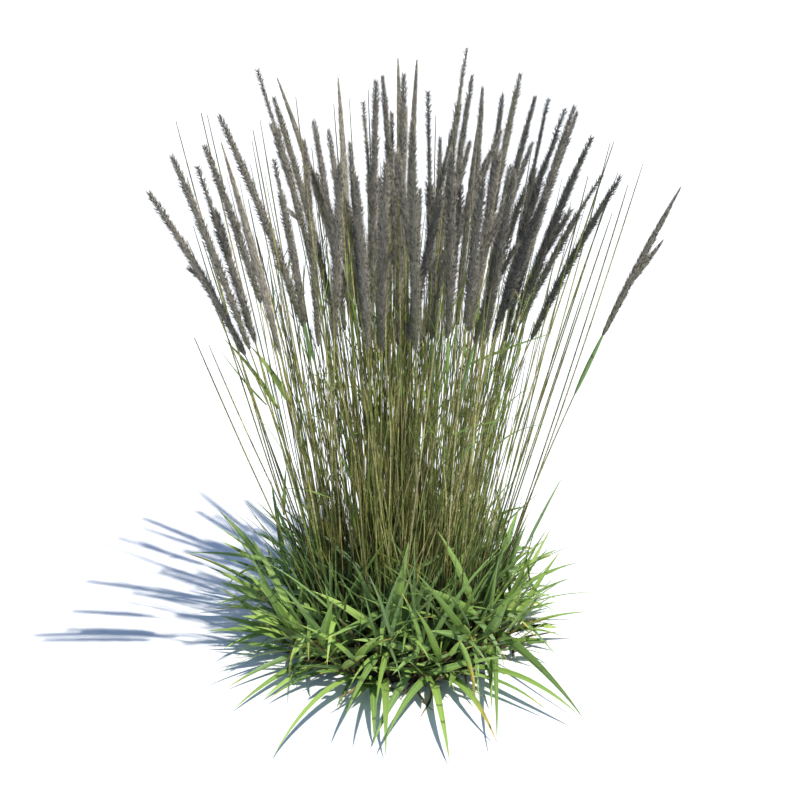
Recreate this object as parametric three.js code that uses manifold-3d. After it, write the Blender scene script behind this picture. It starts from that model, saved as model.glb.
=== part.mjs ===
// A tussock of ornamental grass, standing on its crown where it is cut from the ground.
// A dense crown of tiller bases carries culms that fan outwards. The flowering culms end in
// long bristly heads, the others in bare points. Leafy shoots spread from short rhizomes all
// round the crown, and their tips come down to the ground.
// Millimetres, +Z up. The origin is the middle of the crown's flat underside, and the side
// that faces -Y is the front.

import * as THREE from "three";
import { mergeVertices } from "three/addons/utils/BufferGeometryUtils.js";
import Module from "manifold-3d";

const wasm = await Module();
wasm.setup();

const TURN = Math.PI * 2;
const DEGREE = Math.PI / 180;
const GOLDEN = (Math.sqrt(5) - 1) / 2;
const UP = new THREE.Vector3(0, 0, 1);

// Driving sizes.
const CROWN_RADIUS = 150;
const CROWN_SIDES = 24;
const FOOT_RADIUS = 140; // the ring that the outermost culms grow from
const FOOT_HEIGHT = 12; // how high in the crown a culm starts
const TOP_RADIUS = 400; // how far the culm tips spread
const SEAT_GAP = 0.3; // between two pieces that meet

const CULM_RADIUS = 1.5;
const BARE_CULM_RADIUS = 1.2;
const KNEE = 0.6; // how far up a culm its one bend is
const BARE_CULMS = 58;

const HEAD_RADIUS = 7.8; // to the tips of its tufts
const HEAD_HOLLOW = 0.42; // share of the radius left between tufts
const HEAD_SIDES = 6;
const HEAD_WHORLS = 7;
const SIDE_SPIKE_EVERY = 4;

const LEAF_WIDTH = 13;
const LEAF_KEEL = 1.6; // depth of the blade at its midrib
const WIDEST_AT = 0.25; // share of the blade's length
const DROOP_POWER = 1.3; // how late along a leaf its droop comes
const MEAN_DROOP = 1 / (DROOP_POWER + 1); // share of the droop that the whole leaf has on average
const LEAF_FLOOR = 2; // how far a midrib stays above the ground
const LEAF_TOP = 255; // no leaf of a shoot reaches higher
const SPRAYS = 8;
const SHOOTS_PER_SPRAY = 4;
const LEAVES_PER_SHOOT = 4;
const LEAF_DRAWS = 10; // the freest of these is kept
const INNER_LEAVES = 25;
const CULM_LEAVES = 12;
const SPRAY_SEEDS = [220, 231, 212, 213, 204, 215, 206, 217];
const SPRAY_REACH = [292, 335, 335, 325, 300, 268, 268, 264]; // from the middle to most leaf tips

const RHIZOME_WIDTH = 19;
const RHIZOME_HEIGHT = 15;
const SHOOT_RADIUS = [3.8, 2]; // at its foot and at its end

// What is drawn by chance, as [least, most]. Angles are in degrees, and a width is a share of
// LEAF_WIDTH. aside turns a leaf from its bearing, rise is its angle above level at the root,
// and droop is how much of that it loses on the way to its tip. roll is how far the blade lies
// turned about its midrib at the root, and twist is how much further it turns up to its tip.
const LOW_SHOOT = { lean: [60, 76], length: [50, 100] };
const TALL_SHOOT = { lean: [40, 52], length: [80, 130] };
const RIM_LEAF = {
  aside: [12, 88], rise: [-12, 24], droop: [3, 27], roll: [-55, 55], twist: [-20, 20],
  length: [130, 235], width: [0.7, 1.1],
};
const LONG_LEAF = { droop: [38, 58], roll: [-28, 28], twist: [-20, 20], width: [0.85, 1.1] };
const INNER_LEAF = {
  aside: [-100, 100], rise: [52, 80], droop: [5, 30], roll: [-80, 80], twist: [-20, 20],
  length: [130, 220], width: [0.6, 0.95],
};
const CULM_LEAF = {
  aside: [-70, 70], rise: [58, 74], droop: [35, 85], roll: [-40, 40], twist: [-20, 20],
  length: [100, 170], width: [0.42, 0.62],
};
const HEAD = { bend: 0.12, girth: [0.86, 1.08], baseDepth: 0.64, footDepth: 0.35 };
const SIDE_SPIKE = { from: [0.3, 0.5], turn: [-69, 69], splay: [11, 17], length: [0.3, 0.42], girth: 0.8 };
const BARE_CULM = { height: [470, 920], turn: [-29, 29], foot: [-6, 14], bend: [0.42, 0.58] };
const ROOM_BY_HEAD = 12; // between a head and a culm
const ROOM_BETWEEN_HEADS = 19;

// The culms stay inside this cone up to LEAF_TOP, and the rim's shoots stay outside it.
const CONE_FOOT = 152;
const CONE_SLOPE = Math.tan(13 * DEGREE);

// The eye that the stems are placed from, in front of the plant.
const EYE_DISTANCE = 1870;
const EYE_HEIGHT = 990;

// The heads as that eye sees them, in the upright plane through the plant's middle: across and
// height of the tip, across and height of the base, and how far behind the plane the tip is.
const HEADS = [
  [-382, 743, -242, 490, -300], [-343, 797, -234, 501, -335], [-306, 783, -224, 513, -290],
  [-293, 812, -214, 574, -230], [-270, 857, -151, 532, -120], [-267, 814, -187, 490, -320],
  [-211, 923, -134, 625, 60], [-188, 883, -109, 574, 180], [-190, 794, -148, 539, -150],
  [-181, 908, -75, 554, 120], [-129, 850, -86, 526, -60], [-107, 835, -74, 574, 240],
  [-91, 908, -77, 621, 330], [-90, 788, -102, 518, -240], [-75, 817, -59, 526, 90],
  [-66, 769, -50, 501, -340], [-55, 877, -34, 574, 200], [-35, 908, -44, 542, -100],
  [-26, 914, 0, 518, 20], [-22, 788, -28, 493, -280], [-12, 861, -19, 510, 290],
  [-6, 803, 34, 513, -200], [-3, 938, 6, 526, 130], [6, 917, -3, 501, -40],
  [18, 847, 24, 493, -320], [25, 935, 8, 574, 240], [41, 893, 50, 510, -130],
  [60, 825, 56, 510, 350], [78, 803, 75, 518, -250], [98, 955, 54, 572, 60],
  [107, 914, 65, 588, 180], [116, 842, 89, 534, -60], [122, 897, 109, 574, 280],
  [126, 763, 101, 542, -330], [150, 803, 109, 526, -170], [152, 887, 124, 589, 110],
  [173, 773, 133, 518, -280], [178, 917, 129, 633, 220], [190, 749, 116, 508, -220],
  [199, 817, 139, 621, 330], [201, 884, 136, 589, 30], [219, 734, 151, 545, -300],
  [220, 881, 173, 589, 150], [246, 867, 146, 500, -70], [260, 871, 164, 510, 90],
  [264, 861, 178, 574, 210], [267, 778, 198, 589, -190], [288, 825, 175, 521, -20],
  [305, 767, 187, 534, 120], [334, 766, 205, 513, -140], [424, 748, 318, 518, 20],
];

// Tips of the bare culms that stand clear in the outline, across and height in the same plane.
const BARE_TIPS = [
  [-333, 845], [-321, 764], [-315, 689], [-295, 857], [-286, 854], [-230, 730], [-221, 817],
  [-208, 848], [-154, 880], [-132, 806], [-98, 870], [-75, 878], [-47, 891], [82, 839],
  [210, 836], [283, 585], [283, 764], [314, 814], [344, 751],
];

// The long leaves that stand out round the rim: the bearing of the tip in degrees, how far out
// and how high it is, and how many degrees further round the root lies.
const LONG_LEAVES = [
  [4, 339, 60, 6], [11, 310, 100, 8], [16, 274, 150, 12], [55, 385, 20, -6], [75, 350, 60, 8],
  [100, 380, 20, 7], [125, 395, 50, -8], [154, 308, 180, -6], [161, 345, 150, -4],
  [165, 397, 100, 4], [184, 303, 60, 6], [194, 320, 40, 10], [212, 363, 5, -3], [230, 309, 10, 7],
  [245, 421, 2, 6], [252, 270, 3, 9], [264, 347, 2, -9], [267, 380, 2, -5], [280, 398, 2, 7],
  [292, 371, 2, 2], [309, 351, 10, -12], [311, 399, 20, -5], [336, 266, 10, -9], [344, 279, 30, 6],
  [352, 320, 60, -8],
];

/** A stream of draws from 0 to 1 that always starts the same way for one seed. */
function draws(seed) {
  let state = seed >>> 0;
  return () => {
    state = (state + 0x6d2b79f5) >>> 0;
    let mixed = Math.imul(state ^ (state >>> 15), state | 1);
    mixed ^= mixed + Math.imul(mixed ^ (mixed >>> 7), mixed | 61);
    return ((mixed ^ (mixed >>> 14)) >>> 0) / 4294967296;
  };
}

/** A draw between the two ends of a range. */
const between = (draw, [low, high]) => low + (high - low) * draw();

const fraction = (value) => value - Math.floor(value);

/** One of a list, taken in an even but scattered order. */
const scattered = (list, i, offset) => list[Math.floor(list.length * fraction(i * GOLDEN + offset))];

const bearing = (point) => Math.atan2(point.y, point.x);

/** A closed solid through equal rings of points, ending flat or, with a tip, in a point. */
function loft(rings, tip) {
  const sides = rings[0].length;
  const points = rings.flat();
  const faces = [];
  for (let ring = 0; ring + 1 < rings.length; ring++)
    for (let side = 0; side < sides; side++) {
      const here = ring * sides + side;
      const next = ring * sides + ((side + 1) % sides);
      faces.push(here, next, next + sides, here, next + sides, here + sides);
    }
  const last = (rings.length - 1) * sides;
  for (let side = 1; side + 1 < sides; side++) {
    faces.push(0, side + 1, side);
    if (!tip) faces.push(last, last + side, last + side + 1);
  }
  if (tip) {
    points.push(tip);
    for (let side = 0; side < sides; side++)
      faces.push(last + side, last + ((side + 1) % sides), points.length - 1);
  }
  return new THREE.BufferGeometry().setFromPoints(points).setIndex(faces);
}

/** A geometry as a solid that can be joined and cut. */
function solidOf(geometry) {
  const bare = geometry.clone();
  bare.deleteAttribute("normal");
  bare.deleteAttribute("uv");
  const merged = mergeVertices(bare, 1e-4);
  return new wasm.Manifold(
    new wasm.Mesh({
      numProp: 3,
      vertProperties: merged.attributes.position.array,
      triVerts: new Uint32Array(merged.index.array),
    }),
  );
}

const fuse = (geometries) => geometries.map(solidOf).reduce((whole, piece) => whole.add(piece));

/** A named mesh from a joined solid. */
function meshOf(name, solid, material) {
  const { vertProperties, triVerts } = solid.getMesh();
  const geometry = new THREE.BufferGeometry()
    .setAttribute("position", new THREE.BufferAttribute(vertProperties, 3))
    .setIndex(new THREE.BufferAttribute(triVerts, 1));
  geometry.computeVertexNormals();
  const mesh = new THREE.Mesh(geometry, material);
  mesh.name = name;
  return mesh;
}

/** A stem from its foot to its tip, which leans out more as it rises. */
class Stem {
  constructor(foot, tip, bend, headLength = 0) {
    this.foot = foot;
    this.tip = tip;
    this.bend = bend;
    this.headLength = headLength;
    this.seat = 1 - headLength / foot.distanceTo(tip);
    this.knee = KNEE * this.seat;
  }

  at(along) {
    const out = 2 * this.bend * along * (1 - along) + along * along;
    return new THREE.Vector3(
      this.foot.x + (this.tip.x - this.foot.x) * out,
      this.foot.y + (this.tip.y - this.foot.y) * out,
      this.foot.z + (this.tip.z - this.foot.z) * along,
    );
  }

  atHeight(height) {
    return this.at((height - this.foot.z) / (this.tip.z - this.foot.z));
  }

  /** A point between the foot and the knee, where the culm runs straight. */
  below(part) {
    return this.foot.clone().lerp(this.at(this.knee), part);
  }

  direction(along) {
    return this.at(along + 0.01).sub(this.at(along - 0.01)).normalize();
  }
}

/** The two directions across a stem at a point on it. */
function across(direction) {
  const first = new THREE.Vector3(0, 1, 0).cross(direction).normalize();
  return [first, direction.clone().cross(first)];
}

/** A ring of points round a stem's centre. lift moves every second point along the stem. */
function ringRound(centre, direction, sides, radius, turn = 0, hollow = 1, lift = 0) {
  const [first, second] = across(direction);
  return Array.from({ length: sides }, (_, side) => {
    const angle = turn + (TURN * side) / sides;
    const out = side % 2 === 0;
    const reach = out ? radius : radius * hollow;
    return centre
      .clone()
      .addScaledVector(first, Math.cos(angle) * reach)
      .addScaledVector(second, Math.sin(angle) * reach)
      .addScaledVector(direction, out ? lift : -lift);
  });
}

/** The point that the eye sees across and at a height in the plane, some way behind that plane. */
function seenAt(across, height, depth) {
  const nearer = 1 + depth / EYE_DISTANCE;
  return new THREE.Vector3(across * nearer, depth, EYE_HEIGHT + (height - EYE_HEIGHT) * nearer);
}

/** Depths to try for a stem: the one wanted, then further and further to either side of it. */
function* depthsFrom(wanted) {
  yield wanted;
  for (let step = 1; step <= 24; step++) yield* [wanted + 13 * step, wanted - 13 * step];
}

/** A point drawn in to the ring of the culms' feet where it lies beyond it. */
function inFootRing(x, y) {
  const scale = Math.min(1, FOOT_RADIUS / Math.hypot(x, y));
  return new THREE.Vector3(x * scale, y * scale, FOOT_HEIGHT);
}

/** The stem of a head, which passes through the head's base on its way to the tip. */
function headStem([tipAcross, tipHeight, baseAcross, baseHeight], depth) {
  const tip = seenAt(tipAcross, tipHeight, depth);
  const base = seenAt(baseAcross, baseHeight, depth * HEAD.baseDepth);
  const seat = (base.z - FOOT_HEIGHT) / (tip.z - FOOT_HEIGHT);
  const bow = 2 * seat * (1 - seat);
  const out = HEAD.bend * bow + seat * seat;
  const foot = inFootRing((base.x - tip.x * out) / (1 - out), depth * HEAD.footDepth);
  const spread = tip.x - foot.x;
  const refit = ((base.x - foot.x) / spread - seat * seat) / bow;
  const bend = Math.abs(spread) < 60 ? HEAD.bend : THREE.MathUtils.clamp(refit, 0, 0.5);
  return new Stem(foot, tip, bend, (1 - seat) * foot.distanceTo(tip));
}

/** Whether a stem comes too close to another: head to head, or head to culm. */
function clashes(stem, other) {
  for (let step = 8; step <= 32; step++) {
    const along = step / 32;
    const point = stem.at(along);
    if (point.z < other.foot.z || point.z > other.tip.z + 6) continue;
    const gap = other.atHeight(point.z).distanceTo(point);
    const heads = (along >= stem.seat) + (point.z >= other.at(other.seat).z);
    if (gap < [0, ROOM_BY_HEAD, ROOM_BETWEEN_HEADS][heads]) return true;
  }
  return false;
}

/** The flowering stems, each as near as it can be to its own depth and clear of the others. */
function floweringStems() {
  const standing = [];
  return HEADS.map((seen, index) => {
    for (const depth of depthsFrom(seen[4])) {
      const stem = headStem(seen, depth);
      stem.girth = between(draws(100 + index), HEAD.girth);
      stem.spikes = index % SIDE_SPIKE_EVERY === 2 ? [sideSpike(stem, index)] : [];
      const own = [stem, ...stem.spikes];
      if (own.some((each) => standing.some((other) => clashes(each, other)))) continue;
      standing.push(...own);
      return stem;
    }
    throw new Error(`no room for head ${index}`);
  });
}

/** How close a point comes to the nearest head or side spike, measured level. */
function roomToHeads(point, heads) {
  let least = Infinity;
  for (const head of heads.flatMap((stem) => [stem, ...stem.spikes])) {
    const low = head.at(head.seat).z - 6;
    if (point.z < low || point.z > head.tip.z + 6) continue;
    least = Math.min(least, head.atHeight(point.z).distanceTo(point));
  }
  return least;
}

/** How close a point comes to the nearest of the other stems, measured level. */
function roomToStems(point, stems, own) {
  const others = stems.filter((stem) => stem !== own && stem.tip.z > point.z);
  return Math.min(...others.map((stem) => stem.atHeight(point.z).distanceTo(point)));
}

/** Whether a bare culm passes clear of every head. */
function passesHeads(stem, heads) {
  const steps = Array.from({ length: 41 }, (_, step) => stem.at(step / 40));
  return steps.every((point) => roomToHeads(point, heads) > ROOM_BY_HEAD);
}

/** Culms with no head: those seen in the outline, then others drawn one by one. */
function bareStems(heads) {
  const kept = [];
  BARE_TIPS.forEach(([x, z], i) => {
    const spread = 0.8 * Math.sqrt(TOP_RADIUS ** 2 - x ** 2);
    for (const depth of depthsFrom(spread * (2 * fraction(i * GOLDEN + 0.2) - 1))) {
      const tip = seenAt(x, z, depth);
      const stem = new Stem(inFootRing(tip.x * 0.4, tip.y * 0.4), tip, 0.55);
      if (!passesHeads(stem, heads)) continue;
      kept.push(stem);
      return;
    }
  });
  for (let i = 0; kept.length < BARE_CULMS; i++) {
    const draw = draws(1000 + i);
    const turn = TURN * fraction(i * GOLDEN);
    const reach = TOP_RADIUS * 0.92 * Math.sqrt(draw());
    const tip = new THREE.Vector3(reach, 0, between(draw, BARE_CULM.height) - 0.22 * reach);
    const footTurn = between(draw, BARE_CULM.turn) * DEGREE;
    const footReach = (reach * FOOT_RADIUS) / TOP_RADIUS + between(draw, BARE_CULM.foot);
    const foot = new THREE.Vector3(Math.min(FOOT_RADIUS, footReach), 0, FOOT_HEIGHT);
    const stem = new Stem(
      foot.applyAxisAngle(UP, turn + footTurn),
      tip.applyAxisAngle(UP, turn),
      between(draw, BARE_CULM.bend),
    );
    if (passesHeads(stem, heads)) kept.push(stem);
  }
  return kept;
}

/** A three-sided culm. One that bears a head ends flat, just under it, and a bare one in a point. */
function culm(stem, index, radius) {
  const ring = (along, width) =>
    ringRound(stem.at(along), stem.direction(along), 3, radius * width, index);
  const rings = [ring(0, 1), ring(stem.knee, 0.8)];
  if (!stem.headLength) return loft(rings, stem.tip);
  const direction = stem.direction(stem.seat);
  const top = stem.at(stem.seat).addScaledVector(direction, -SEAT_GAP);
  rings.push(ringRound(top, direction, 3, radius * 0.6, index));
  return loft(rings);
}

/** How wide a head is along its length, as a share of its widest part. */
function headWidth(along) {
  const foot = 0.55 + 0.45 * Math.min(1, along / 0.16);
  return foot * (1 - 0.68 * along ** 2.3);
}

/** A head, or a side spike of one: whorls of tufts that stand out and up from a slim core. */
function spike(place, facing, length, whorls, radius, turn) {
  const pitch = length / (whorls + 0.4);
  const rings = [ringRound(place(0), facing(0), HEAD_SIDES, radius * 0.3, turn)];
  for (let whorl = 1; whorl <= whorls; whorl++) {
    const along = (whorl - 0.3) / (whorls + 0.4);
    const angle = turn + whorl * (TURN / HEAD_SIDES + 12 * DEGREE);
    const width = radius * headWidth(along);
    rings.push(
      ringRound(place(along), facing(along), HEAD_SIDES, width, angle, HEAD_HOLLOW, 0.36 * pitch),
    );
  }
  // Each whorl is turned on by one side, so its ring starts one point later.
  rings.forEach((ring, whorl) => {
    for (let shift = 0; shift < whorl % HEAD_SIDES; shift++) ring.unshift(ring.pop());
  });
  return loft(rings, place(1));
}

/** The side spike of a head, as a straight stem that is all head. */
function sideSpike(stem, index) {
  const draw = draws(300 + index);
  const from = stem.seat + (1 - stem.seat) * between(draw, SIDE_SPIKE.from);
  const start = stem.at(from);
  const direction = stem.direction(from);
  const [first, second] = across(direction);
  const turn = bearing(start) + between(draw, SIDE_SPIKE.turn) * DEGREE;
  const aside = first
    .multiplyScalar(Math.cos(turn))
    .addScaledVector(second, Math.sin(turn))
    .multiplyScalar(Math.tan(between(draw, SIDE_SPIKE.splay) * DEGREE));
  const length = stem.headLength * between(draw, SIDE_SPIKE.length);
  const end = start.clone().addScaledVector(direction.clone().add(aside).normalize(), length);
  return new Stem(start, end, 0.5, length);
}

/** One flower head, which sits on the end of its culm. */
function head(stem, index) {
  const run = 1 - stem.seat;
  const radius = HEAD_RADIUS * stem.girth;
  const main = spike(
    (along) => stem.at(stem.seat + run * along),
    (along) => stem.direction(stem.seat + run * along),
    stem.headLength,
    HEAD_WHORLS,
    radius,
    index,
  );
  const sides = stem.spikes.map((side) =>
    spike(
      (along) => side.at(along),
      () => side.direction(0.5),
      side.headLength,
      Math.round(HEAD_WHORLS * 0.4),
      radius * SIDE_SPIKE.girth,
      index,
    ),
  );
  return fuse([main, ...sides]);
}

/** A leaf of one of the kinds above, from its root. */
function drawLeaf(kind, start, towards, draw) {
  return {
    start: start.clone(),
    heading: towards + between(draw, kind.aside) * DEGREE,
    rise: between(draw, kind.rise) * DEGREE,
    droop: between(draw, kind.droop) * DEGREE,
    length: between(draw, kind.length),
    width: LEAF_WIDTH * between(draw, kind.width),
    roll: between(draw, kind.roll) * DEGREE,
    twist: between(draw, kind.twist) * DEGREE,
  };
}

/** The points that a leaf's midrib passes, evenly along it, with its direction at each. */
function leafLine(leaf, steps) {
  const line = [];
  const point = leaf.start.clone();
  const fine = 24;
  for (let step = 0; step <= fine; step++) {
    const along = step / fine;
    const rise = leaf.rise - leaf.droop * along ** DROOP_POWER;
    const level = Math.cos(rise);
    const direction = new THREE.Vector3(
      Math.cos(leaf.heading) * level,
      Math.sin(leaf.heading) * level,
      Math.sin(rise),
    );
    if ((step * steps) % fine === 0) line.push({ along, point: point.clone(), direction });
    point.addScaledVector(direction, leaf.length / fine);
    point.z = Math.max(point.z, LEAF_FLOOR);
  }
  return line;
}

/** How wide a blade is along its length, as a share of its widest part. */
function bladeWidth(along) {
  if (along < WIDEST_AT) return 0.26 + 0.74 * Math.sin(((along / WIDEST_AT) * Math.PI) / 2);
  return Math.cos((((along - WIDEST_AT) / (1 - WIDEST_AT)) ** 1.6 * Math.PI) / 2);
}

/** A keeled blade, flat on top, with its midrib below. */
function blade(leaf) {
  const line = leafLine(leaf, 3);
  const rings = line.slice(0, -1).map(({ along, point, direction }) => {
    const side = new THREE.Vector3(-Math.sin(leaf.heading), Math.cos(leaf.heading), 0);
    side.applyAxisAngle(direction, leaf.roll + leaf.twist * along);
    const up = direction.clone().cross(side);
    const half = (leaf.width / 2) * bladeWidth(along);
    const keel = LEAF_KEEL * (1 - 0.45 * along);
    return [
      point.clone().addScaledVector(side, half).addScaledVector(up, keel * 0.35),
      point.clone().addScaledVector(side, -half).addScaledVector(up, keel * 0.35),
      point.clone().addScaledVector(up, -keel * 0.65),
    ];
  });
  return loft(rings, line.at(-1).point);
}

/** A long leaf of the rim, which arches from the rhizome to the tip that is seen. */
function longLeaf([tipBearing, reach, height, aside]) {
  const draw = draws(5000 + tipBearing);
  const turn = tipBearing * DEGREE;
  const start = new THREE.Vector3(CROWN_RADIUS + RHIZOME_WIDTH * 0.7, 0, RHIZOME_HEIGHT * 0.5);
  start.applyAxisAngle(UP, aside * DEGREE);
  const run = new THREE.Vector3(reach, 0, height).sub(start);
  const droop = between(draw, LONG_LEAF.droop) * DEGREE * (1 - height / LEAF_TOP);
  return {
    start: start.applyAxisAngle(UP, turn),
    heading: turn + bearing(run),
    rise: Math.atan2(run.z, Math.hypot(run.x, run.y)) + droop * MEAN_DROOP,
    droop,
    length: run.length() * (1 + droop ** 2 / 30), // the arch is that much longer than its chord
    width: LEAF_WIDTH * between(draw, LONG_LEAF.width),
    roll: between(draw, LONG_LEAF.roll) * DEGREE,
    twist: between(draw, LONG_LEAF.twist) * DEGREE,
  };
}

/** The distance from the culms' cone to a point, outwards. */
const outsideCone = (point) => Math.hypot(point.x, point.y) - CONE_FOOT - point.z * CONE_SLOPE;

/** The least distance from a point to the two sides of a spray's sector. */
function insideSector(point, sector) {
  const low = Math.cos(sector.low) * point.y - Math.sin(sector.low) * point.x;
  const high = Math.sin(sector.high) * point.x - Math.cos(sector.high) * point.y;
  return Math.min(low, high);
}

/** Turns, lowers and shortens a leaf of the rim until it lies in its sector, outside the cone. */
function bendClear(leaf, sector) {
  const middle = (sector.low + sector.high) / 2;
  const margin = leaf.width / 2 + 1;
  for (let attempt = 0; attempt < 60; attempt++) {
    const line = leafLine(leaf, 6);
    const strays = line.some(({ point }) => insideSector(point, sector) < margin);
    const crowds = line.some(({ point }) => outsideCone(point) < margin);
    const tall = line.some(({ point }) => point.z > LEAF_TOP - margin);
    const far = line.some(({ point }) => Math.hypot(point.x, point.y) > sector.reach);
    if (!strays && !crowds && !tall && !far) return true;
    if (far) leaf.length *= 0.95;
    if (strays || crowds) leaf.heading += (middle - leaf.heading) * 0.12;
    if (crowds || tall) leaf.rise -= 2.5 * DEGREE;
  }
  return false;
}

/** A leafy shoot of the rim, leaning out of the rhizome. Low and tall ones stand by turns. */
function rimShoot(sector, place, draw) {
  const middle = (sector.low + sector.high) / 2;
  const width = sector.high - sector.low;
  const azimuth = middle + width * ((place + 0.5) / SHOOTS_PER_SPRAY - 0.5) * 0.72;
  const kind = (place + sector.index) % 2 === 0 ? LOW_SHOOT : TALL_SHOOT;
  const foot = new THREE.Vector3(CROWN_RADIUS + RHIZOME_WIDTH * 0.5, 0, RHIZOME_HEIGHT * 0.45);
  return {
    start: foot.applyAxisAngle(UP, azimuth),
    rise: (97 - between(draw, kind.lean)) * DEGREE,
    droop: 14 * DEGREE,
    length: between(draw, kind.length),
    heading: azimuth + between(draw, [-6, 6]) * DEGREE,
  };
}

/** One leaf of a shoot, drawn by chance and bent clear, or nothing where there is no room. */
function shootLeaf(shoot, order, sector, draw) {
  const last = order === LEAVES_PER_SHOOT - 1;
  const from = leafLine(shoot, 24)[Math.round(((order + 1) / LEAVES_PER_SHOOT) * 23)];
  const leaf = drawLeaf(RIM_LEAF, from.point, 0, draw);
  if (last) leaf.heading = 0;
  if (order % 2 === 1) leaf.heading *= -1;
  leaf.heading += shoot.heading;
  leaf.rise += Math.asin(from.direction.z);
  return bendClear(leaf, sector) ? leaf : null;
}

/** The least distance between two leaves, leaving out their roots. */
function roomBetween(leaf, other) {
  const [line, otherLine] = [leaf, other].map((each) => leafLine(each, 12).slice(2));
  const gaps = line.flatMap(({ point }) => otherLine.map((near) => near.point.distanceTo(point)));
  return Math.min(...gaps);
}

/** The leaves of a shoot, left and right by turns, each the freest of several draws. */
function leavesOf(shoot, sector, draw, neighbours) {
  const leaves = [];
  for (let order = 0; order < LEAVES_PER_SHOOT; order++) {
    let [freest, most] = [null, -1];
    for (let attempt = 0; attempt < LEAF_DRAWS; attempt++) {
      const leaf = shootLeaf(shoot, order, sector, draw);
      if (!leaf) continue;
      const room = Math.min(...[...neighbours, ...leaves].map((other) => roomBetween(leaf, other)), 40);
      if (room > most) [freest, most] = [leaf, room];
    }
    if (freest) leaves.push(freest);
  }
  return leaves;
}

/** The rhizome under a spray: a curved ridge that lies against the crown's side. */
function rhizome(sector) {
  const facets = CROWN_SIDES / SPRAYS;
  const gap = SEAT_GAP / CROWN_RADIUS;
  const inner = CROWN_RADIUS + SEAT_GAP * 1.2;
  const outer = CROWN_RADIUS + RHIZOME_WIDTH;
  const rings = [];
  for (let i = 0; i <= facets; i++) {
    let angle = sector.low + (TURN * i) / CROWN_SIDES;
    if (i === 0) angle += gap / 2;
    if (i === facets) angle -= gap / 2;
    const corner = (radius, height) =>
      new THREE.Vector3(Math.cos(angle) * radius, Math.sin(angle) * radius, height);
    const swell = 1.5 * Math.sin(i * 2.1 + sector.index);
    rings.push([
      corner(inner, 0),
      corner(inner, RHIZOME_HEIGHT * 0.8),
      corner(inner + RHIZOME_WIDTH * 0.4, RHIZOME_HEIGHT + swell),
      corner(outer, RHIZOME_HEIGHT * 0.45),
      corner(outer - 3, 0),
    ]);
  }
  return loft(rings);
}

/** A spray: a rhizome with its leafy shoots, grown together. */
function spray(index) {
  const low = (TURN * index) / SPRAYS;
  const sector = { index, low, high: low + TURN / SPRAYS, reach: SPRAY_REACH[index] };
  const pieces = [rhizome(sector)];
  const leaves = LONG_LEAVES.map(longLeaf).filter(({ start }) => insideSector(start, sector) > 0);
  for (const leaf of leaves) bendClear(leaf, { ...sector, reach: Infinity });
  for (let place = 0; place < SHOOTS_PER_SPRAY; place++) {
    const draw = draws(SPRAY_SEEDS[index] * 10 + place);
    const shoot = rimShoot(sector, place, draw);
    const rings = leafLine(shoot, 2).map(({ along, point, direction }) =>
      ringRound(point, direction, 3, THREE.MathUtils.lerp(...SHOOT_RADIUS, along), index + place),
    );
    pieces.push(loft(rings));
    leaves.push(...leavesOf(shoot, sector, draw, leaves));
  }
  return fuse([...pieces, ...leaves.map(blade)]);
}

/** The crown: a low knobbly dome with a flat underside. */
function crown() {
  const profile = [[1, 0], [1, 14], [0.95, 25], [0.7, 33], [0.36, 37]];
  const rings = profile.map(([reach, height], level) =>
    Array.from({ length: CROWN_SIDES }, (_, side) => {
      const angle = (TURN * side) / CROWN_SIDES;
      const knob = level < 2 ? 0 : 2.2 * Math.sin(side * 2.4 + level * 1.7);
      const radius = CROWN_RADIUS * reach + knob;
      return new THREE.Vector3(Math.cos(angle) * radius, Math.sin(angle) * radius, height + knob);
    }),
  );
  return loft(rings, new THREE.Vector3(0, 0, 38));
}

/** Leaves that grow upright among the culms, between them and inside their cone. */
function innerLeaves(stems) {
  const leaves = [];
  for (let i = 0; leaves.length < INNER_LEAVES; i++) {
    const draw = draws(4000 + i);
    const stem = scattered(stems, i, 0.1);
    const start = stem.below(between(draw, [0.12, 0.5]));
    const leaf = drawLeaf(INNER_LEAF, start, bearing(start), draw);
    const margin = leaf.width / 2 + 1;
    const line = leafLine(leaf, 12);
    const strays = line.some(({ point }) => outsideCone(point) > -margin || point.z > LEAF_TOP);
    const crossed = line.some(
      ({ point, along }) => roomToStems(point, stems, stem) < margin * (1 - along) + 1,
    );
    if (!strays && !crossed) leaves.push(leaf);
  }
  return leaves;
}

/** Narrow leaves half-way up the culms, which arch out above the rim's shoots. */
function culmLeaves(heads, stems) {
  const leaves = [];
  for (let i = 0; leaves.length < CULM_LEAVES; i++) {
    const draw = draws(6000 + i);
    const stem = scattered(heads, i, 0.35);
    const start = stem.at(stem.knee);
    const leaf = drawLeaf(CULM_LEAF, start, bearing(start), draw);
    const line = leafLine(leaf, 12);
    const low = line.some(({ point }) => point.z < LEAF_TOP + 8);
    const crowded = line.some(({ point }) => roomToHeads(point, heads) < 20);
    const crossed = line.some(({ point }) => roomToStems(point, stems, stem) < 5);
    if (!low && !crowded && !crossed) leaves.push(leaf);
  }
  return leaves;
}

const culmFinish = new THREE.MeshStandardMaterial({ color: 0x77793a, roughness: 0.75, metalness: 0 });
const leafFinish = new THREE.MeshStandardMaterial({ color: 0x4f7f2c, roughness: 0.6, metalness: 0 });
const headFinish = new THREE.MeshStandardMaterial({ color: 0x66635b, roughness: 0.95, metalness: 0 });

const tussock = new THREE.Group();
tussock.name = "grass_tussock";

const heads = floweringStems();
const bare = bareStems(heads);
const stems = [...heads, ...bare];
const grown = [
  crown(),
  ...heads.map((stem, i) => culm(stem, i, CULM_RADIUS)),
  ...bare.map((stem, i) => culm(stem, i, BARE_CULM_RADIUS)),
  ...innerLeaves(stems).map(blade),
  ...culmLeaves(heads, stems).map(blade),
];
tussock.add(meshOf("crown_and_culms", fuse(grown), culmFinish));

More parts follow.
